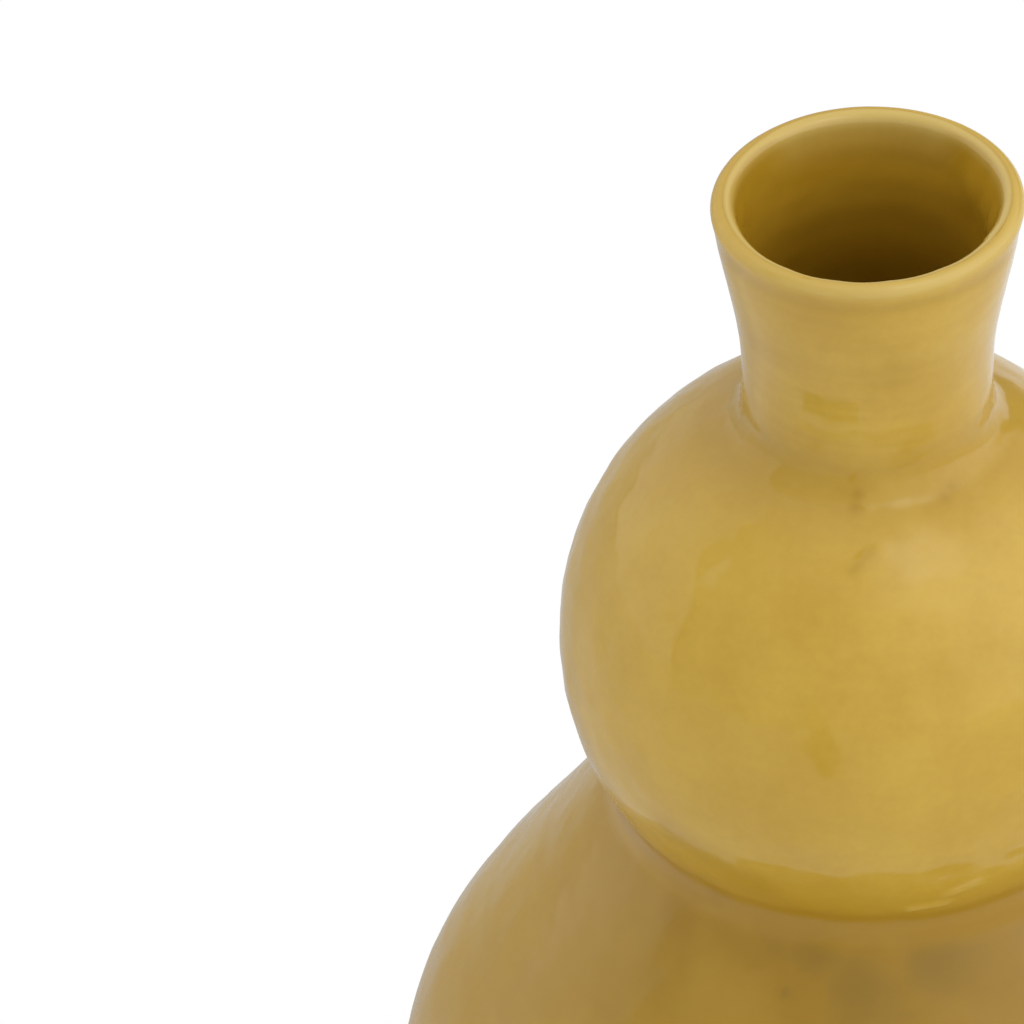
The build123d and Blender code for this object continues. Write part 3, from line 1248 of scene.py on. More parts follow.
@dataclass
class Foot:
    """Turned foot ring and the slip that holds it."""

    corner: float = 0.5
    most_worn_share: float = 0.45
    bead: float = 0.25
    wall_step: float = 0.5
    joint_step: float = 3.0
    corner_shares: tuple[float, ...] = (0.0, 0.25, 0.5, 0.75, 1.0)
    bead_turns: tuple[float, ...] = (-1.2, -0.6, 0.0, 0.6, 1.2)
    throwing: Throwing = Throwing(
        segments=144, lump_depth=0.12, knuckle_depth=0.04, ring_pitch=1.6, ring_depth=0.03, seed=21.0
    )

    def build(self, shop: Workshop) -> None:
        """Builds the ring and its slip.

        Args:
            shop: Turning tree and finishes.
        """
        inner, outer = profile.foot_r - profile.foot_width, profile.foot_r
        bevel, top, worn = profile.foot_bevel, profile.foot_height, self.corner
        section = [(inner, bevel), (inner + bevel, 0), (outer - bevel, 0), (outer, bevel), (outer, top)]
        ring = Outline()
        for before, corner, after in zip(section, section[1:], section[2:]):
            ring.add(self._eased(before, corner, after), Face.LUTED)
        ring.add(straight((outer, bevel + worn), (outer, top - worn), self.wall_step), Face.FREE)
        ring.add(straight((outer, top), (inner, top), self.joint_step), Face.LUTED)
        ring.add(straight((inner, top - worn), (inner, bevel + worn), self.wall_step), Face.FREE)
        piece = shop.wall.shape("foot_ring_turned", ring, plain, self.throwing, (), shop.clay)
        settle(piece, "foot_ring")
        self._slip(shop, inner, outer)

    def _eased(self, before: Point, corner: Point, after: Point) -> list[Point]:
        """A corner with its edge worn round.

        Args:
            before: Point before the corner.
            corner: The corner.
            after: Point after it.

        Returns:
            Points round the corner.
        """
        ends = []
        for end in (before, after):
            length = hypot(end[0] - corner[0], end[1] - corner[1])
            share = min(self.corner / length, self.most_worn_share)
            ends.append(tuple(corner[k] + (end[k] - corner[k]) * share for k in (0, 1)))
        return rounded(ends[0], corner, ends[1], self.corner_shares)

    def _slip(self, shop: Workshop, inner: float, outer: float) -> None:
        """Builds the slip, squeezed out a little at both sides.

        Args:
            shop: Turning tree and finishes.
            inner: Inner radius of the ring.
            outer: Outer radius of the ring.
        """
        low, high = profile.foot_height, profile.foot_top
        bead = Bend(0.0, (low + high) / 2, (high - low) / 2)
        swell = [(self.bead * cos(a), bead.at(a)[1], bead.at(-a)[1]) for a in self.bead_turns]
        ring = Outline()
        ring.add(straight((inner, low), (outer, low), self.joint_step), Face.LUTED)
        ring.add([(outer + out, rising) for out, rising, _ in swell], Face.LUTED)
        ring.add(straight((outer, high), (inner, high), self.joint_step), Face.LUTED)
        ring.add([(inner - out, falling) for out, _, falling in swell], Face.LUTED)
        piece = shop.wall.shape("foot_slip_bead", ring, plain, self.throwing, (), shop.slip)
        settle(piece, "foot_slip")


@dataclass
class LowerBulb:
    """Bowl, slip seam and shoulder of the lower bulb."""

    bare_step: float = 0.8
    joint_step: float = 3.0
    covered_step: float = 4.0
    floor_step: float = 8.0
    foot_gap: float = 1.0
    foot_clear: float = 0.5
    under_glaze: float = 3.0
    worn: float = 0.6
    worn_rise: float = 0.8
    worn_shares: tuple[float, ...] = (0.2, 0.4, 0.6, 0.8)
    turning_fade: Span = (-6.0, -1.0)
    throwing: Throwing = Throwing(
        segments=160, lump_depth=0.25, knuckle_depth=0.05, ring_pitch=2.6, ring_depth=0.14, seed=9.2
    )

    def build(self, shop: Workshop) -> None:
        """Builds the bowl with its turned underside.

        Args:
            shop: Turning tree and finishes.
        """
        p, belly, under = profile, profile.belly, profile.foot_top
        joint_z = belly.z - p.slip / 2
        joint = p.grooved(belly.at_height(joint_z, p.glaze), belly.at_height(joint_z, p.clay_in))
        edge = belly.at_height(under, p.glaze)
        worn_start, worn_end = (edge[0] - self.worn, under), belly.at_height(under + self.worn_rise, p.glaze)
        glaze_foot = belly.at_height(p.glaze_edge + self.under_glaze, p.glaze)
        floor_edge = belly.at_height(p.floor_z, p.clay_in)
        foot_in = p.foot_r - p.foot_width
        bowl = Outline()
        bowl.add(straight((0, under), (foot_in - self.foot_gap, under), self.bare_step), Face.FREE)
        bowl.add(straight((foot_in, under), (p.foot_r, under), self.joint_step), Face.LUTED)
        bowl.add(straight((p.foot_r + self.foot_clear, under), worn_start, self.bare_step), Face.LUTED)
        bowl.add(rounded(worn_start, edge, worn_end, self.worn_shares), Face.LUTED)
        bowl.add(belly.between(worn_end, glaze_foot, p.glaze, self.bare_step), Face.LUTED)
        bowl.add(belly.between(glaze_foot, joint[0], p.glaze, self.covered_step), Face.LUTED)
        bowl.add(joint, Face.LUTED)
        bowl.add(belly.between(joint[-1], floor_edge, p.clay_in, self.covered_step), Face.LUTED)
        bowl.add(straight(floor_edge, (0, p.floor_z), self.floor_step), Face.LUTED)
        piece = shop.wall.shape("base_bowl_turned", bowl, self._weights, self.throwing, (), shop.clay)
        settle(piece, "base_bowl")

    def dress(self, shop: Workshop) -> None:
        """Dresses the CAD solids that stay."""
        dress_nodes(shop.slip, "belly_slip")
        dress_nodes(shop.clay, "lower_shoulder")

    def _weights(self, point: Point, face: Face) -> Weights:
        """Turning marks on the underside, fading towards the foot ring.

        Args:
            point: Point of the section.
            face: What it borders on.

        Returns:
            The share of free surface.
        """
        if face is Face.LUTED:
            return {}
        inside = profile.foot_r - profile.foot_width
        return {"free": 1 - smooth(*(inside + end for end in self.turning_fade), point[0])}


@dataclass
class Waist:
    """Slip and coil in the crease between the bulbs."""

    def dress(self, shop: Workshop) -> None:
        """Dresses the CAD solids that stay."""
        dress_nodes(shop.slip, "waist_slip")
        dress_nodes(shop.clay, "waist_coil")


@dataclass
class UpperBulb:
    """Bowl, slip seam and shoulder of the upper bulb."""

    def dress(self, shop: Workshop) -> None:
        """Dresses the CAD solids that stay."""
        dress_nodes(shop.slip, "bulb_slip")
        dress_nodes(shop.clay, "upper_bowl", "upper_shoulder")


@dataclass
class Neck:
    """Flared neck on its slip and coil."""

    step: float = 3.0
    throwing: Throwing = Throwing(segments=160, lump_depth=0.0, knuckle_depth=0.0, ring_depth=0.0)

    def build(self, shop: Workshop) -> None:
        """Builds the clay of the neck, which leans with the lip under the glaze.

        Args:
            shop: Turning tree and finishes.
        """
        p, step = profile, self.step
        outer, inner = ((p.neck_r - d, p.neck_meet(d)[1] + p.slip / 2) for d in (p.glaze, p.clay_in))
        wall = Outline()
        wall.add(p.grooved(outer, inner)[::-1], Face.LUTED)
        wall.add(straight(outer, p.flare.at(INWARD, p.glaze), step), Face.LUTED)
        wall.add(p.to_crown(p.glaze, step), Face.LUTED)
        wall.add(p.to_crown(p.clay_in, step)[::-1], Face.LUTED)
        wall.add(straight(p.flare.at(INWARD, p.clay_in), inner, step), Face.LUTED)
        piece = shop.wall.shape("neck_thrown", wall, self._weights, self.throwing, lip_dents, shop.clay)
        settle(piece, "neck")

    def dress(self, shop: Workshop) -> None:
        """Dresses the CAD solids that stay."""
        dress_nodes(shop.slip, "neck_slip")
        dress_nodes(shop.clay, "neck_coil")

    @staticmethod
    def _weights(point: Point, face: Face) -> Weights:
        """Only the lean of the lip and its dents."""
        return leaning(point[1], 1)


@dataclass(frozen=True)
class Zone:
    """How a zone of a coat differs from the open wall.

    The throwing is evened out by a share, the glaze lies deeper by a share, and the surface stays back by
    millimetres.
    """

    evened: float = 0.0
    pooled: float = 0.0
    sunk: float = 0.0


@dataclass
class OuterCoat:
    """Glaze outside, from its edge above the foot to the crown of the lip."""

    # Spacing of the points, from the open wall to the side that lies on the clay.
    step: float = 1.5
    low_step: float = 3.0
    belly_step: float = 1.8
    fine_step: float = 0.7
    root_step: float = 0.8
    edge_step: float = 2.0
    lip_step: float = 4.0
    hidden_step: float = 8.0
    # The rolled lower edge, and how far up its waves and its evenness reach.
    roll_turns: tuple[float, ...] = (0.0, 0.3, 0.6, 0.9, 1.2, UPWARD)
    edge_reach: float = 16.0
    edge_fade_share: float = 0.6
    edge_free: Span = (0.6, 6.0)
    # Radii to which the glaze fills the crease and the corner under the waist band.
    crease_fill: float = 8.0
    corner_fill: float = 15.0
    # Zones, and how far they reach.
    belly: Zone = Zone(evened=0.75, sunk=0.30)
    lip: Zone = Zone(evened=0.8, sunk=0.18)
    neck: Zone = Zone(evened=0.6, sunk=0.12)
    crease: Zone = Zone(evened=0.5, pooled=0.85)
    root: Zone = Zone(pooled=0.3)
    # Under the rim a shallow groove, with painted shade in it laid on as deeper glaze.
    under_rim: Zone = Zone(pooled=0.25, sunk=0.15)
    belly_reach: float = 30.0
    lip_reach: float = 6.0
    neck_span: Span = (-4.0, 8.0)
    crease_drop: float = 2.0
    crease_reach: float = 5.0
    hollow_reach: float = 10.5
    lower_span: Span = (-6.0, 1.0)
    root_drop: float = 3.0
    root_reach: float = 9.0
    rim_drop: float = 4.5
    rim_reach: float = 2.2
    # Painted shade on the lower bulb and to one side of each bulb, a painted highlight on one side of the
    # lip, thinner glaze on the lip, and streaks.
    lower_shade: float = 0.25
    lower_side_shade: float = 0.9
    upper_side_shade: float = 0.35
    lip_side_highlight: float = 0.8
    crown_thinness: float = 0.35
    flank_width: float = 2.0
    wall_streak: float = 0.05
    neck_streak: float = 0.15
    throwing: Throwing = Throwing()
    marks: tuple[Mark, ...] = (
        *lip_dents,
        # A dent in the upper bulb's shoulder and two beads of glaze over the crease.
        *trail((-134.7, 299.3, 57.5), (-132.2, 302.6, 54.3), 2, 2.5, 0.25),
        *trail((-80.8, 213.8, 68.7), (-74.0, 214.6, 69.0), 6, 1.4, -0.9, -0.5),
        *trail((-74.0, 219.0, 71.2), (-67.5, 221.5, 72.2), 6, 1.4, -0.6, -0.3),
        # Painted shade under the upper bulb, to the left, laid on as deeper glaze.
        *trail((-131.0, 229.5, 75.0), (-112.5, 220.8, 72.0), 8, 6.0, tone=0.4),
        # Painted dark reflections as small spots below the neck's root, and two smudges of deeper glaze on
        # the neck.
        *trail((-94.1, 317.6, 33.4), (-95.0, 315.3, 35.8), 2, 1.7, tone=0.3),
        *trail((-53.4, 315.9, 34.9), (-58.6, 315.0, 36.2), 2, 1.7, tone=0.3),
        *trail((-94.2, 306.5, 49.7), (-89.6, 309.3, 45.9), 4, 1.8, tone=0.3),
        Mark(-79.0, 358.5, 32.3, 3.0, tone=0.22),
        Mark(-78.0, 351.5, 31.6, 3.0, tone=0.22),
        # Painted shade round the waist and on the shoulder below it, under the upper bulb, laid on as deeper
        # glaze; one dimple holds deeper glaze.
        *trail((-132.0, 200.0, 66.0), (-102.5, 199.0, 66.0), 4, 8.0, tone=0.35),
        Mark(-106.6, 188.1, 73.2, 1.6, 0.35, 0.5),
        Mark(-76.9, 193.5, 68.7, 8.0, tone=0.3),
        Mark(-89.5, 189.0, 72.0, 11.0, tone=0.3),
        Mark(-125.5, 204.5, 65.0, 4.5, tone=0.45),
    )

    def build(self, shop: Workshop) -> None:
        """Builds the coat.

        Args:
            shop: Turning tree and finishes.
        """
        coat = Outline()
        coat.add(self._lower(), Face.FREE)
        coat.add(self._upper(), Face.FREE)
        coat.add(self._under(), Face.LUTED)
        piece = shop.wall.shape(
            "outer_glaze_coat", coat, self._weights, self.throwing, self.marks, shop.glaze
        )
        settle(piece, "outer_glaze")

    @property
    def edge_angle(self) -> float:
        """Angle on the lower bulb at which the coat ends."""
        return profile.belly.bearing(profile.belly.at_height(profile.glaze_edge, 0))

    def _lower(self) -> list[Point]:
        """Free side over the lower bulb.

        Returns:
            Points from the rolled edge up to the waist band.
        """
        p, belly, end = profile, profile.belly, self.edge_angle
        roll = p.glaze / belly.radius
        corner_z = p.band_foot_z + self.corner_fill * tan(p.shoulder_lean / 2)
        corner = Bend(p.waist_r + self.corner_fill, corner_z, self.corner_fill, hollow=True)
        corner_end = INWARD + p.shoulder_lean
        return [
            *(belly.at(end + roll * (1 - cos(a)), p.glaze * (1 - sin(a))) for a in self.roll_turns),
            *belly.sweep(end + roll, 0.0, 0, self.low_step),
            *belly.sweep(0.0, p.shoulder_lean, 0, self.belly_step),
            *straight(p.shoulder(0), corner.at(corner_end), self.step),
            *corner.sweep(corner_end, INWARD, 0, self.fine_step),
        ]

    def _upper(self) -> list[Point]:
        """Free side from the waist band over the upper bulb and the neck.

        Returns:
            Points up to the crown of the lip.
        """
        p, filled = profile, profile.waist_r + self.crease_fill
        corner_z = p.band_foot_z + self.corner_fill * tan(p.shoulder_lean / 2)
        drop = sqrt((p.bulb.radius + self.crease_fill) ** 2 - (filled - p.bulb.r) ** 2)
        fillet = Bend(filled, p.bulb.z - drop, self.crease_fill, hollow=True)
        turned = p.bulb.bearing((fillet.r, fillet.z))
        return [
            *straight((p.waist_r, corner_z), fillet.at(INWARD), self.fine_step),
            *fillet.sweep(INWARD, INWARD + turned, 0, self.fine_step),
            *p.bulb.sweep(turned, p.root_angle, 0, self.step),
            *p.root.sweep(INWARD + p.root_angle, INWARD, 0, self.root_step),
            *straight(p.root.at(INWARD), p.flare.at(INWARD), self.step),
            *p.to_crown(0, self.step),
        ]

    def _under(self) -> list[Point]:
        """Side that lies on the clay.

        Returns:
            Points from the crown back down to the edge.
        """
        p, glaze, end = profile, profile.glaze, self.edge_angle
        coil = glaze + p.coil_set_back
        coil_reach, span = p.root.reach(coil), p.bulb.radius + p.neck_hollow
        top = INWARD + acos(p.root.reach(glaze) / coil_reach)
        turn = acos((span**2 + coil_reach**2 - p.bulb.reach(glaze) ** 2) / (2 * span * coil_reach))
        foot = INWARD + p.root_angle - turn
        waist = p.shoulder_at_radius(p.waist_r - glaze, glaze)
        near = end + self.edge_reach / p.belly.radius
        return [
            *p.to_crown(glaze, self.lip_step)[::-1],
            *p.root.sweep(top, foot, coil, self.edge_step),
            *p.bulb.between(p.root.at(foot, coil), p.crease(glaze), glaze, self.hidden_step),
            *straight(waist, p.shoulder(glaze), self.hidden_step),
            *p.belly.sweep(p.shoulder_lean, near, glaze, self.hidden_step),
            *p.belly.sweep(near, end, glaze, self.edge_step)[:-1],
        ]

    def _weights(self, point: Point, face: Face) -> Weights:
        """Weights over the coat.

        Args:
            point: Point of the section.
            face: What it borders on.

        Returns:
            Shares of free surface, lip, edge, and pooled glaze with painted shade and light among it.
        """
        p, (r, z) = profile, point
        edge = 1 - smooth(0.0, self.edge_reach * self.edge_fade_share, z - p.glaze_edge)
        if face is Face.LUTED:
            return leaning(z, -1) | {"edge": edge}
        crease_r, crease_z = p.crease(0)
        belly = bell(z - p.belly.z, self.belly_reach)
        lip = p.from_lip((-self.lip_reach, p.lip.radius), z)
        neck = smooth(*(p.root.z + end for end in self.neck_span), z)
        crease = bell(hypot(r - crease_r, z - crease_z + self.crease_drop), self.crease_reach)
        under_rim = bell(z - p.lip.z + self.rim_drop, self.rim_reach)
        root = bell(z - p.root.z + self.root_drop, self.root_reach)
        lower = 1 - smooth(*(crease_z + end for end in self.lower_span), z)
        free = smooth(*(p.glaze_edge + end for end in self.edge_free), z)
        zones = ((self.belly, belly), (self.lip, lip), (self.neck, neck), (self.crease, crease))
        for zone, share in zones:
            free *= 1 - zone.evened * share
        flank = p.from_lip(FLANKS, z) * smooth(0.0, self.flank_width, r - p.lip.r)
        thin = self.crown_thinness * (p.from_lip(FLANKS, z) - flank)
        # The lower bulb's share and the one-sided shares are painted shade and painted light.
        one_sided = self.upper_side_shade * (1 - lower) * (1 - thin)
        pool = max(self.crease.pooled * crease, self.lower_shade * lower) - thin + one_sided
        sunk = self.belly.sunk * belly + self.lip.sunk * lip + self.neck.sunk * neck * (1 - lip)
        return leaning(z, 1) | {
            "free": free,
            "touch": 1.0,
            "sunk": sunk + self.under_rim.sunk * under_rim,
            "edge": edge,
            "pool": pool + self.root.pooled * root + self.under_rim.pooled * under_rim,
            "flash": self.lower_side_shade * lower * (1 - crease) - one_sided - self.lip_side_highlight * flank,
            "streak": self.wall_streak + self.neck_streak * neck * (1 - lip),
            "hollow": bell(hypot(r - crease_r, z - crease_z), self.hollow_reach),
        }


@dataclass
class InnerCoat:
    """Glaze inside, from the crown of the lip to the floor: a darker copy of the ochre glaze, with painted
    shade that deepens further down.
    """

    # Spacing of the points in the neck and below it, on the free side and on the clay.
    free_steps: Span = (1.5, 2.4)
    clay_steps: Span = (3.0, 6.0)
    # Zones, from the centre of the lip's round down; the throat and the deep zone are painted shade.
    lip: Zone = Zone(evened=0.8, sunk=0.18)
    lip_reach: float = 6.0
    shaded_throat: Zone = Zone(pooled=0.5)
    shaded_throat_span: Span = (-32.0, -9.0)
    deep: Zone = Zone(pooled=0.5)
    deep_shade_span: Span = (-65.0, -25.0)
    wall_share: float = 0.7
    # The pale ridge inside the crown, by the distance in from the middle of the lip.
    crown_thinness: float = 0.35
    ridge_rise: Span = (0.0, 1.0)
    ridge_fall: Span = (1.4, 2.6)
    ridge_fall_share: float = 0.6
    throwing: Throwing = Throwing(segments=240, ring_pitch=7.0, ring_depth=0.45)
    marks: tuple[Mark, ...] = (
        *lip_dents,
        # Swellings of the wall inside the mouth, and thinner glaze inside the lip at the back.
        *trail((-24.0, 374.5, 33.0), (32.0, 374.5, 33.0), 5, 6.2, -1.7),
        Mark(180.0, 373.0, 33.0, 9.0, -0.5),
        *trail((62.0, 384.0, 34.5), (122.0, 384.0, 34.5), 10, 7.0, tone=-0.6),
    )

    def build(self, shop: Workshop) -> None:
        """Builds the coat.

        Args:
            shop: Turning tree and finishes.
        """
        p = profile
        coat = Outline()
        coat.add(self._down(p.clay_in, p.floor_z, *self.clay_steps)[::-1], Face.LUTED)
        coat.add(self._down(p.cavity, p.floor_z + p.glaze, *self.free_steps), Face.FREE)
        piece = shop.wall.shape(
            "inner_glaze_coat", coat, self._weights, self.throwing, self.marks, shop.inner_glaze
        )
        settle(piece, "inner_glaze")

    @staticmethod
    def _down(depth: float, floor: float, fine: float, coarse: float) -> list[Point]:
        """One side of the coat.

        Args:
            depth: Depth under the outside of the vase.
            floor: Height of the floor.
            fine: Spacing in the neck.
            coarse: Spacing below it.

        Returns:
            Points from the crown of the lip down to the axis.
        """
        p = profile
        meet, waist, shoulder = p.neck_meet(depth), p.waist_meet(depth), p.shoulder(depth)
        floor_edge = p.belly.at_height(floor, depth)
        return [
            *p.to_crown(depth, fine)[::-1],
            *straight(p.flare.at(INWARD, depth), meet, fine),
            *p.bulb.between(meet, waist, depth, coarse),
            *straight(waist, shoulder, coarse),
            *p.belly.between(shoulder, floor_edge, depth, coarse),
            *straight(floor_edge, (0, floor), coarse),
        ]

    def _weights(self, point: Point, face: Face) -> Weights:
        """Weights over the coat.

        Args:
            point: Point of the section.
            face: What it borders on.

        Returns:
            Shares of free surface, lip and pooled glaze.
        """
        p, (r, z) = profile, point
        if face is Face.LUTED:
            return leaning(z, -1)
        lip = p.from_lip((-self.lip_reach, p.lip.radius), z)
        inside = p.lip.r - r
        rise, fall = smooth(*self.ridge_rise, inside), smooth(*self.ridge_fall, inside)
        ridge = (self.crown_thinness + (1 - self.crown_thinness) * rise) * (1 - self.ridge_fall_share * fall)
        # The throat and the deep zone paint the inside's shade as deeper glaze.
        shaded_throat = 1 - p.from_lip(self.shaded_throat_span, z)
        deep = 1 - p.from_lip(self.deep_shade_span, z)
        thin = ridge * p.from_lip(FLANKS, z)
        return leaning(z, 1) | {
            "free": (1 - self.lip.evened * lip) * self.wall_share,
            "touch": 1.0,
            "sunk": self.lip.sunk * lip,
            "pool": self.shaded_throat.pooled * shaded_throat + self.deep.pooled * deep - thin,
        }


@dataclass(frozen=True)
class Patch:
    """A soft-edged part of the surroundings that is lighter or darker than the screens; degrees."""

    azimuth: float
    elevation: float
    wide: float
    tall: float
    level: float
    edge: float = 0.35
    lean: float = 0.0

    def share(self, sheet: Sheet, turn: Socket, rise: Socket) -> Socket:
        """Share of the patch in a direction.

        Args:
            sheet: Sheet to place the nodes on.
            turn: Azimuth of the direction.
            rise: Elevation of the direction.

        Returns:
            One inside the patch, running out to nothing over its soft edge.
        """
        upward = sheet.math("SUBTRACT", rise, radians(self.elevation))
        swing = sheet.math("SUBTRACT", turn, radians(self.azimuth))
        across = sheet.math("WRAP", sheet.math("MULTIPLY_ADD", upward, self.lean, swing), pi, -pi)
        across = sheet.product(across, cos(radians(self.elevation)) / radians(self.wide))
        upward = sheet.product(upward, 1 / radians(self.tall))
        away = sheet.measured("LENGTH", sheet.joined(across, upward))
        return sheet.graded(away, 1 - self.edge, 1 + self.edge, 1.0, 0.0)


@dataclass(frozen=True)
class FloorLine:
    """A dark line on the floor, part of a ring round the vase, that only the gloss shows.

    It is shown to rays of some lengths, in metres, so that it falls on the neck and not on the bulbs.
    """

    SECTOR_EDGE: ClassVar[Span] = (0.85, 1.05)
    RING_EDGE: ClassVar[Span] = (0.65, 1.0)

    radius: float
    half_width: float
    azimuth: float
    spread: float
    level: float
    shown_from: Span
    shown_to: Span = (1.0, 2.0)

    def share(self, sheet: Sheet, turn: Socket, away: Socket, reach: Socket) -> Socket:
        """Share of the line at a place of the floor.

        Args:
            sheet: Sheet of the floor's material.
            turn: Azimuth of the place.
            away: Distance from the vase's axis.
            reach: Length of the ray.

        Returns:
            The socket of the share.
        """
        swing = sheet.math("ABSOLUTE", sheet.math("SUBTRACT", turn, radians(self.azimuth)))
        sector = sheet.graded(swing, *(radians(self.spread * end) for end in self.SECTOR_EDGE), 1.0, 0.0)
        off = sheet.math("ABSOLUTE", sheet.math("SUBTRACT", away, self.radius))
        ring = sheet.graded(off, *(self.half_width * end for end in self.RING_EDGE), 1.0, 0.0)
        far, near = sheet.graded(reach, *self.shown_from), sheet.graded(reach, *self.shown_to, 1.0, 0.0)
        return sheet.product(ring, sector, far, near, self.level)


@dataclass
class Studio:
    """Plain white surroundings: a pale floor, white screens all round and a soft window of light."""

    floor_size: float = 16.0
    shadow_near: float = 0.11
    shadow_far: float = 0.20
    floor_colour: Colour = (0.86, 0.86, 0.86)
    # Painted shadow on the floor to the left behind, which only the gloss shows, and the azimuths over which
    # it begins.
    floor_shadow_behind: Colour = (0.56, 0.56, 0.56)
    shadow_behind: Span = (-134.0, -112.0)
    # Dark lines that the neck mirrors, and the camera's shade, which the bulb mirrors.
    floor_gap: Colour = (0.12, 0.12, 0.12)
    floor_lines: tuple[FloorLine, ...] = (
        FloorLine(0.44, 0.022, 0.0, 65.0, 0.6, (0.46, 0.49)),
        FloorLine(0.345, 0.018, -37.0, 28.0, 1.0, (0.40, 0.43), (0.470, 0.482)),
    )
    camera_shade: Patch = Patch(-15, -4, 5.0, 13.0, 0.35, 0.5, 0.3)
    shade_on_floor: float = 0.75
    bulb_height: float = 0.235
    bulb_reach: float = 0.07
    # Brightness of the screens by azimuth, in degrees from the camera's side, and of the ceiling.
    screens: tuple[Point, ...] = (
        (-180, 0.60),
        (-165, 0.64),
        (-120, 1.14),
        (-76, 1.10),
        (-73, 0.35),
        (-71, 0.66),
        (-40, 0.70),
        (-12, 0.66),
        (10, 0.82),
        (25, 0.96),
        (45, 1.18),
        (75, 1.60),
        (110, 1.52),
        (135, 1.10),
        (160, 0.74),
        (180, 0.60),
    )
    seam_tilt: float = 0.3
    ceiling: float = 0.98
    ceiling_span: Span = (0.75, 0.98)
    window: tuple[Patch, ...] = (Patch(45, 62, 15, 12, 1.7, 0.8), Patch(45, 62, 8, 7, 2.3, 0.9))
    shades: tuple[Patch, ...] = (
        Patch(-5, 68.5, 2.4, 5.0, 0.15, 0.4, -1.8),
        Patch(150, 9, 28, 11, 0.25, 0.5),
    )

    def build(self) -> None:
        """Builds the floor and the screens.

        The white that the camera sees is plain; the levels above are what lights the vase.
        """
        self._floor()
        self._screens()
        log.info("studio: floor and screens")

    @staticmethod
    def _azimuth(sheet: Sheet, parts: Sequence[Socket]) -> Socket:
        """Azimuth of a direction, counted from the camera's side to the right."""
        return sheet.math("ARCTAN2", parts[0], sheet.product(parts[1], -1.0))

    def _floor(self) -> None:
        """Pale floor that takes the vase's shadow near its foot and runs out to white."""
        half = self.floor_size / 2
        mesh = bpy.data.meshes.new("floor")
        corners = [(-half, -half, 0), (half, -half, 0), (half, half, 0), (-half, half, 0)]
        mesh.from_pydata(corners, [], [(0, 1, 2, 3)])
        floor = linked("floor", mesh)
        material = bpy.data.materials.new("pale_floor")
        sheet = blank_sheet(material)
        place = sheet.put("ShaderNodeTexCoord", "Object")
        away, turn = sheet.measured("LENGTH", place), self._azimuth(sheet, sheet.parted(place))
        seen = sheet.node("ShaderNodeLightPath").outputs
        white = sheet.product(sheet.graded(away, self.shadow_near, self.shadow_far), seen["Is Camera Ray"])
        # Painted shadow on the floor to the left behind, seen only in the gloss.
        shadow_behind = sheet.graded(turn, *map(radians, self.shadow_behind), 1.0, 0.0)
        colour = sheet.mixed(
            sheet.product(shadow_behind, seen["Is Glossy Ray"]), self.floor_colour, self.floor_shadow_behind
        )
        gaps = self._floor_gaps(sheet, turn, away, seen["Ray Length"])
        colour = sheet.mixed(sheet.product(gaps, seen["Is Glossy Ray"]), colour, self.floor_gap)
        matt = sheet.put("ShaderNodeBsdfDiffuse", 0, {"Color": colour})
        glow = sheet.put("ShaderNodeEmission", 0, {"Color": (1, 1, 1, 1), "Strength": 1.0})
        mix = sheet.put("ShaderNodeMixShader", 0, {0: white, 1: matt, 2: glow})
        sheet.node("ShaderNodeOutputMaterial", {"Surface": mix})
        mesh.materials.append(material)

    def _floor_gaps(self, sheet: Sheet, turn: Socket, away: Socket, reach: Socket) -> Socket:
        """Dark parts of the floor that only the gloss of the glaze shows.

        Args:
            sheet: Sheet of the floor's material.
            turn: Azimuth of the place on the floor.
            away: Distance from the vase's axis.
            reach: Length of the ray.

        Returns:
            Share of the dark lines and of the camera's shade, as the bulb mirrors it.
        """
        dip = sheet.math("ARCTAN2", -self.bulb_height, sheet.math("SUBTRACT", away, self.bulb_reach))
        share = sheet.product(self.camera_shade.share(sheet, turn, dip), self.shade_on_floor)
        for line in self.floor_lines:
            share = sheet.math("MAXIMUM", share, line.share(sheet, turn, away, reach))
        return share

    def _screens(self) -> None:
        """White screens round the vase as the world, with a seam between two of them."""
        world = bpy.data.worlds.new("white_screens")
        bpy.context.scene.world = world
        sheet = blank_sheet(world)
        parts = sheet.parted(sheet.put("ShaderNodeTexCoord", "Generated"))
        turn, rise = self._azimuth(sheet, parts), sheet.math("ARCSINE", parts[2])
        tilted = sheet.math("MULTIPLY_ADD", rise, self.seam_tilt, turn)
        ramp = sheet.node("ShaderNodeValToRGB", {0: sheet.math("MULTIPLY_ADD", tilted, 1 / tau, 0.5)})
        stops = ramp.color_ramp.elements
        peak = max(level for _, level in self.screens)
        while len(stops) < len(self.screens):
            stops.new(0.5)
        for stop, (azimuth, level) in zip(stops, self.screens):
            stop.position = azimuth / 360 + 0.5
            stop.color = (level / peak, level / peak, level / peak, 1)
        around = sheet.product(sheet.put("ShaderNodeRGBToBW", 0, {0: ramp.outputs[0]}), peak)
        level = sheet.between(sheet.graded(parts[2], *self.ceiling_span), around, self.ceiling)
        for patch in (*self.window, self.camera_shade, *self.shades):
            level = sheet.between(patch.share(sheet, turn, rise), level, patch.level)
        strength = sheet.between(sheet.put("ShaderNodeLightPath", "Is Camera Ray"), level, 1.0)
        glow = sheet.put("ShaderNodeBackground", 0, {"Color": (1, 1, 1, 1), "Strength": strength})
        sheet.node("ShaderNodeOutputWorld", {"Surface": glow})


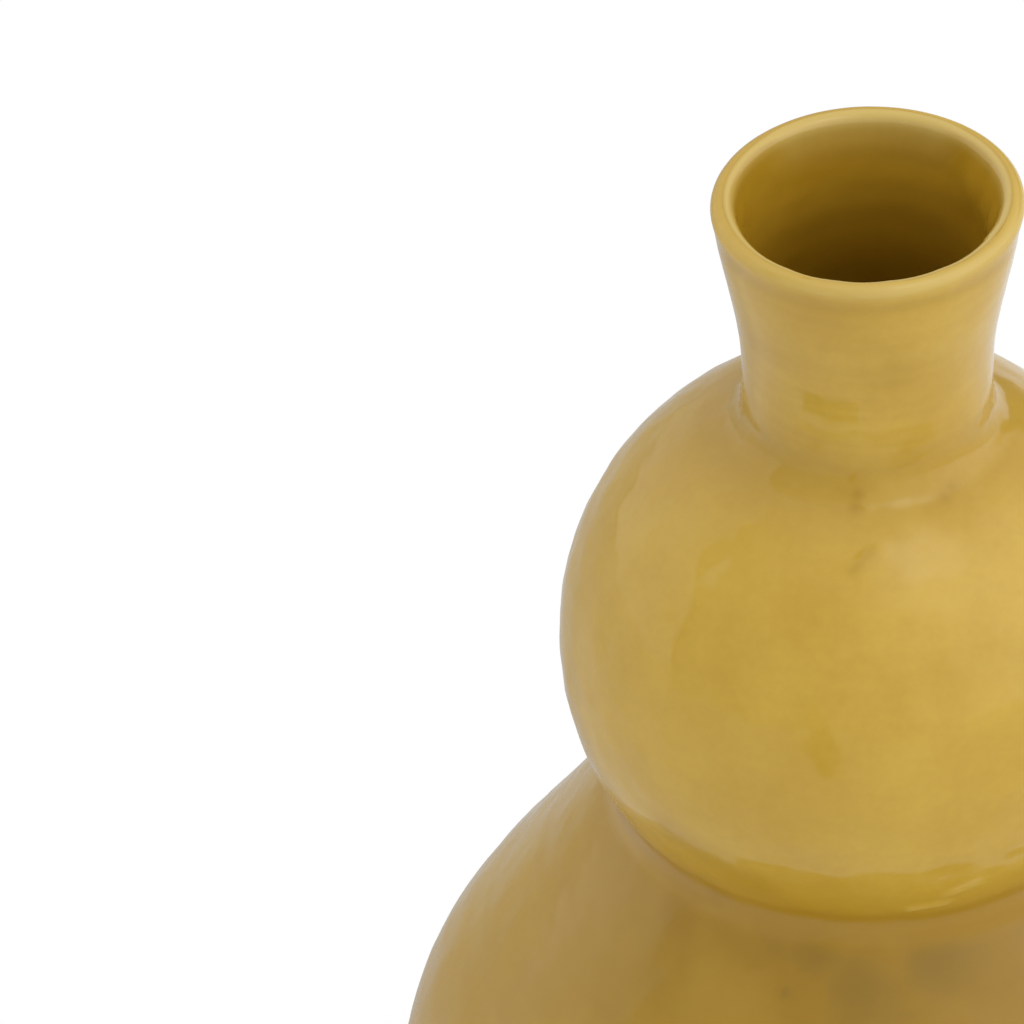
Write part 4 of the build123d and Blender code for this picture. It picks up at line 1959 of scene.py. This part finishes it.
@dataclass
class PhotoCamera:
    """Camera at the photograph's viewing angle; metres, and pixels of the photograph."""

    distance: float = 3.5
    elevation: float = radians(36.8)
    focal_pixels: float = 14228.0
    image: float = 1024.0
    sensor: float = 36.0
    sight: float = 60.0
    mouth_pixel: Point = (867.6, 204.6)
    mouth_drop: float = 0.8
    roll: float = radians(-0.02)

    def build(self) -> None:
        """Places the camera so that the centre of the mouth falls on its pixel."""
        data = bpy.data.cameras.new("photo_camera")
        data.sensor_width = self.sensor
        data.lens = self.focal_pixels / self.image * self.sensor
        data.clip_end = self.sight
        back = Vector((0, -cos(self.elevation), sin(self.elevation)))
        right = Vector((1, 0, 0))
        facing = Matrix((right, back.cross(right), back)).transposed()
        half = self.image / 2
        target = Vector((self.mouth_pixel[0] - half, half - self.mouth_pixel[1], -self.focal_pixels))
        swing = Vector((0, 0, -1)).rotation_difference(target.normalized()).to_matrix()
        turn = facing @ Matrix.Rotation(self.roll, 3, "Z") @ swing.transposed()
        mouth = Vector((0, 0, (profile.lip.z - self.mouth_drop) * MM))
        camera = linked("photo_camera", data)
        camera.matrix_world = Matrix.Translation(mouth + back * self.distance) @ turn.to_4x4()
        bpy.context.scene.camera = camera
        log.info("camera: lens %.1f mm", data.lens)


luting_slip = BareStoneware(
    "luting_slip",
    body=(0.58, 0.49, 0.37),
    light=(0.66, 0.57, 0.45),
    speck_share=0.06,
    grain=1400.0,
    relief=0.00015,
)
# A darker copy of the ochre glaze for the inside, painted shade of the hollow, darkest in its pooled colour.
shaded_inside_glaze = OchreGlaze(
    "ochre_glaze_shaded_inside",
    body=(0.43, 0.240, 0.014),
    light=(0.46, 0.265, 0.020),
    pooled=(0.17, 0.076, 0.001),
)


def main() -> None:
    """Builds the vase from the foot up, then the studio and the camera."""
    logging.basicConfig(level=logging.INFO, format="%(name)s: %(message)s")
    effects = Effects()
    finishes = (OchreGlaze(), shaded_inside_glaze, BareStoneware(), luting_slip)
    shop = Workshop(TurnedWall(), *(finish.material(effects) for finish in finishes))
    lower, neck = LowerBulb(), Neck()
    Foot().build(shop)
    lower.build(shop)
    lower.dress(shop)
    Waist().dress(shop)
    UpperBulb().dress(shop)
    neck.build(shop)
    neck.dress(shop)
    OuterCoat().build(shop)
    InnerCoat().build(shop)
    Studio().build()
    PhotoCamera().build()
    bpy.context.scene.view_settings.view_transform = "Standard"


if __name__ == "__main__":
    main()
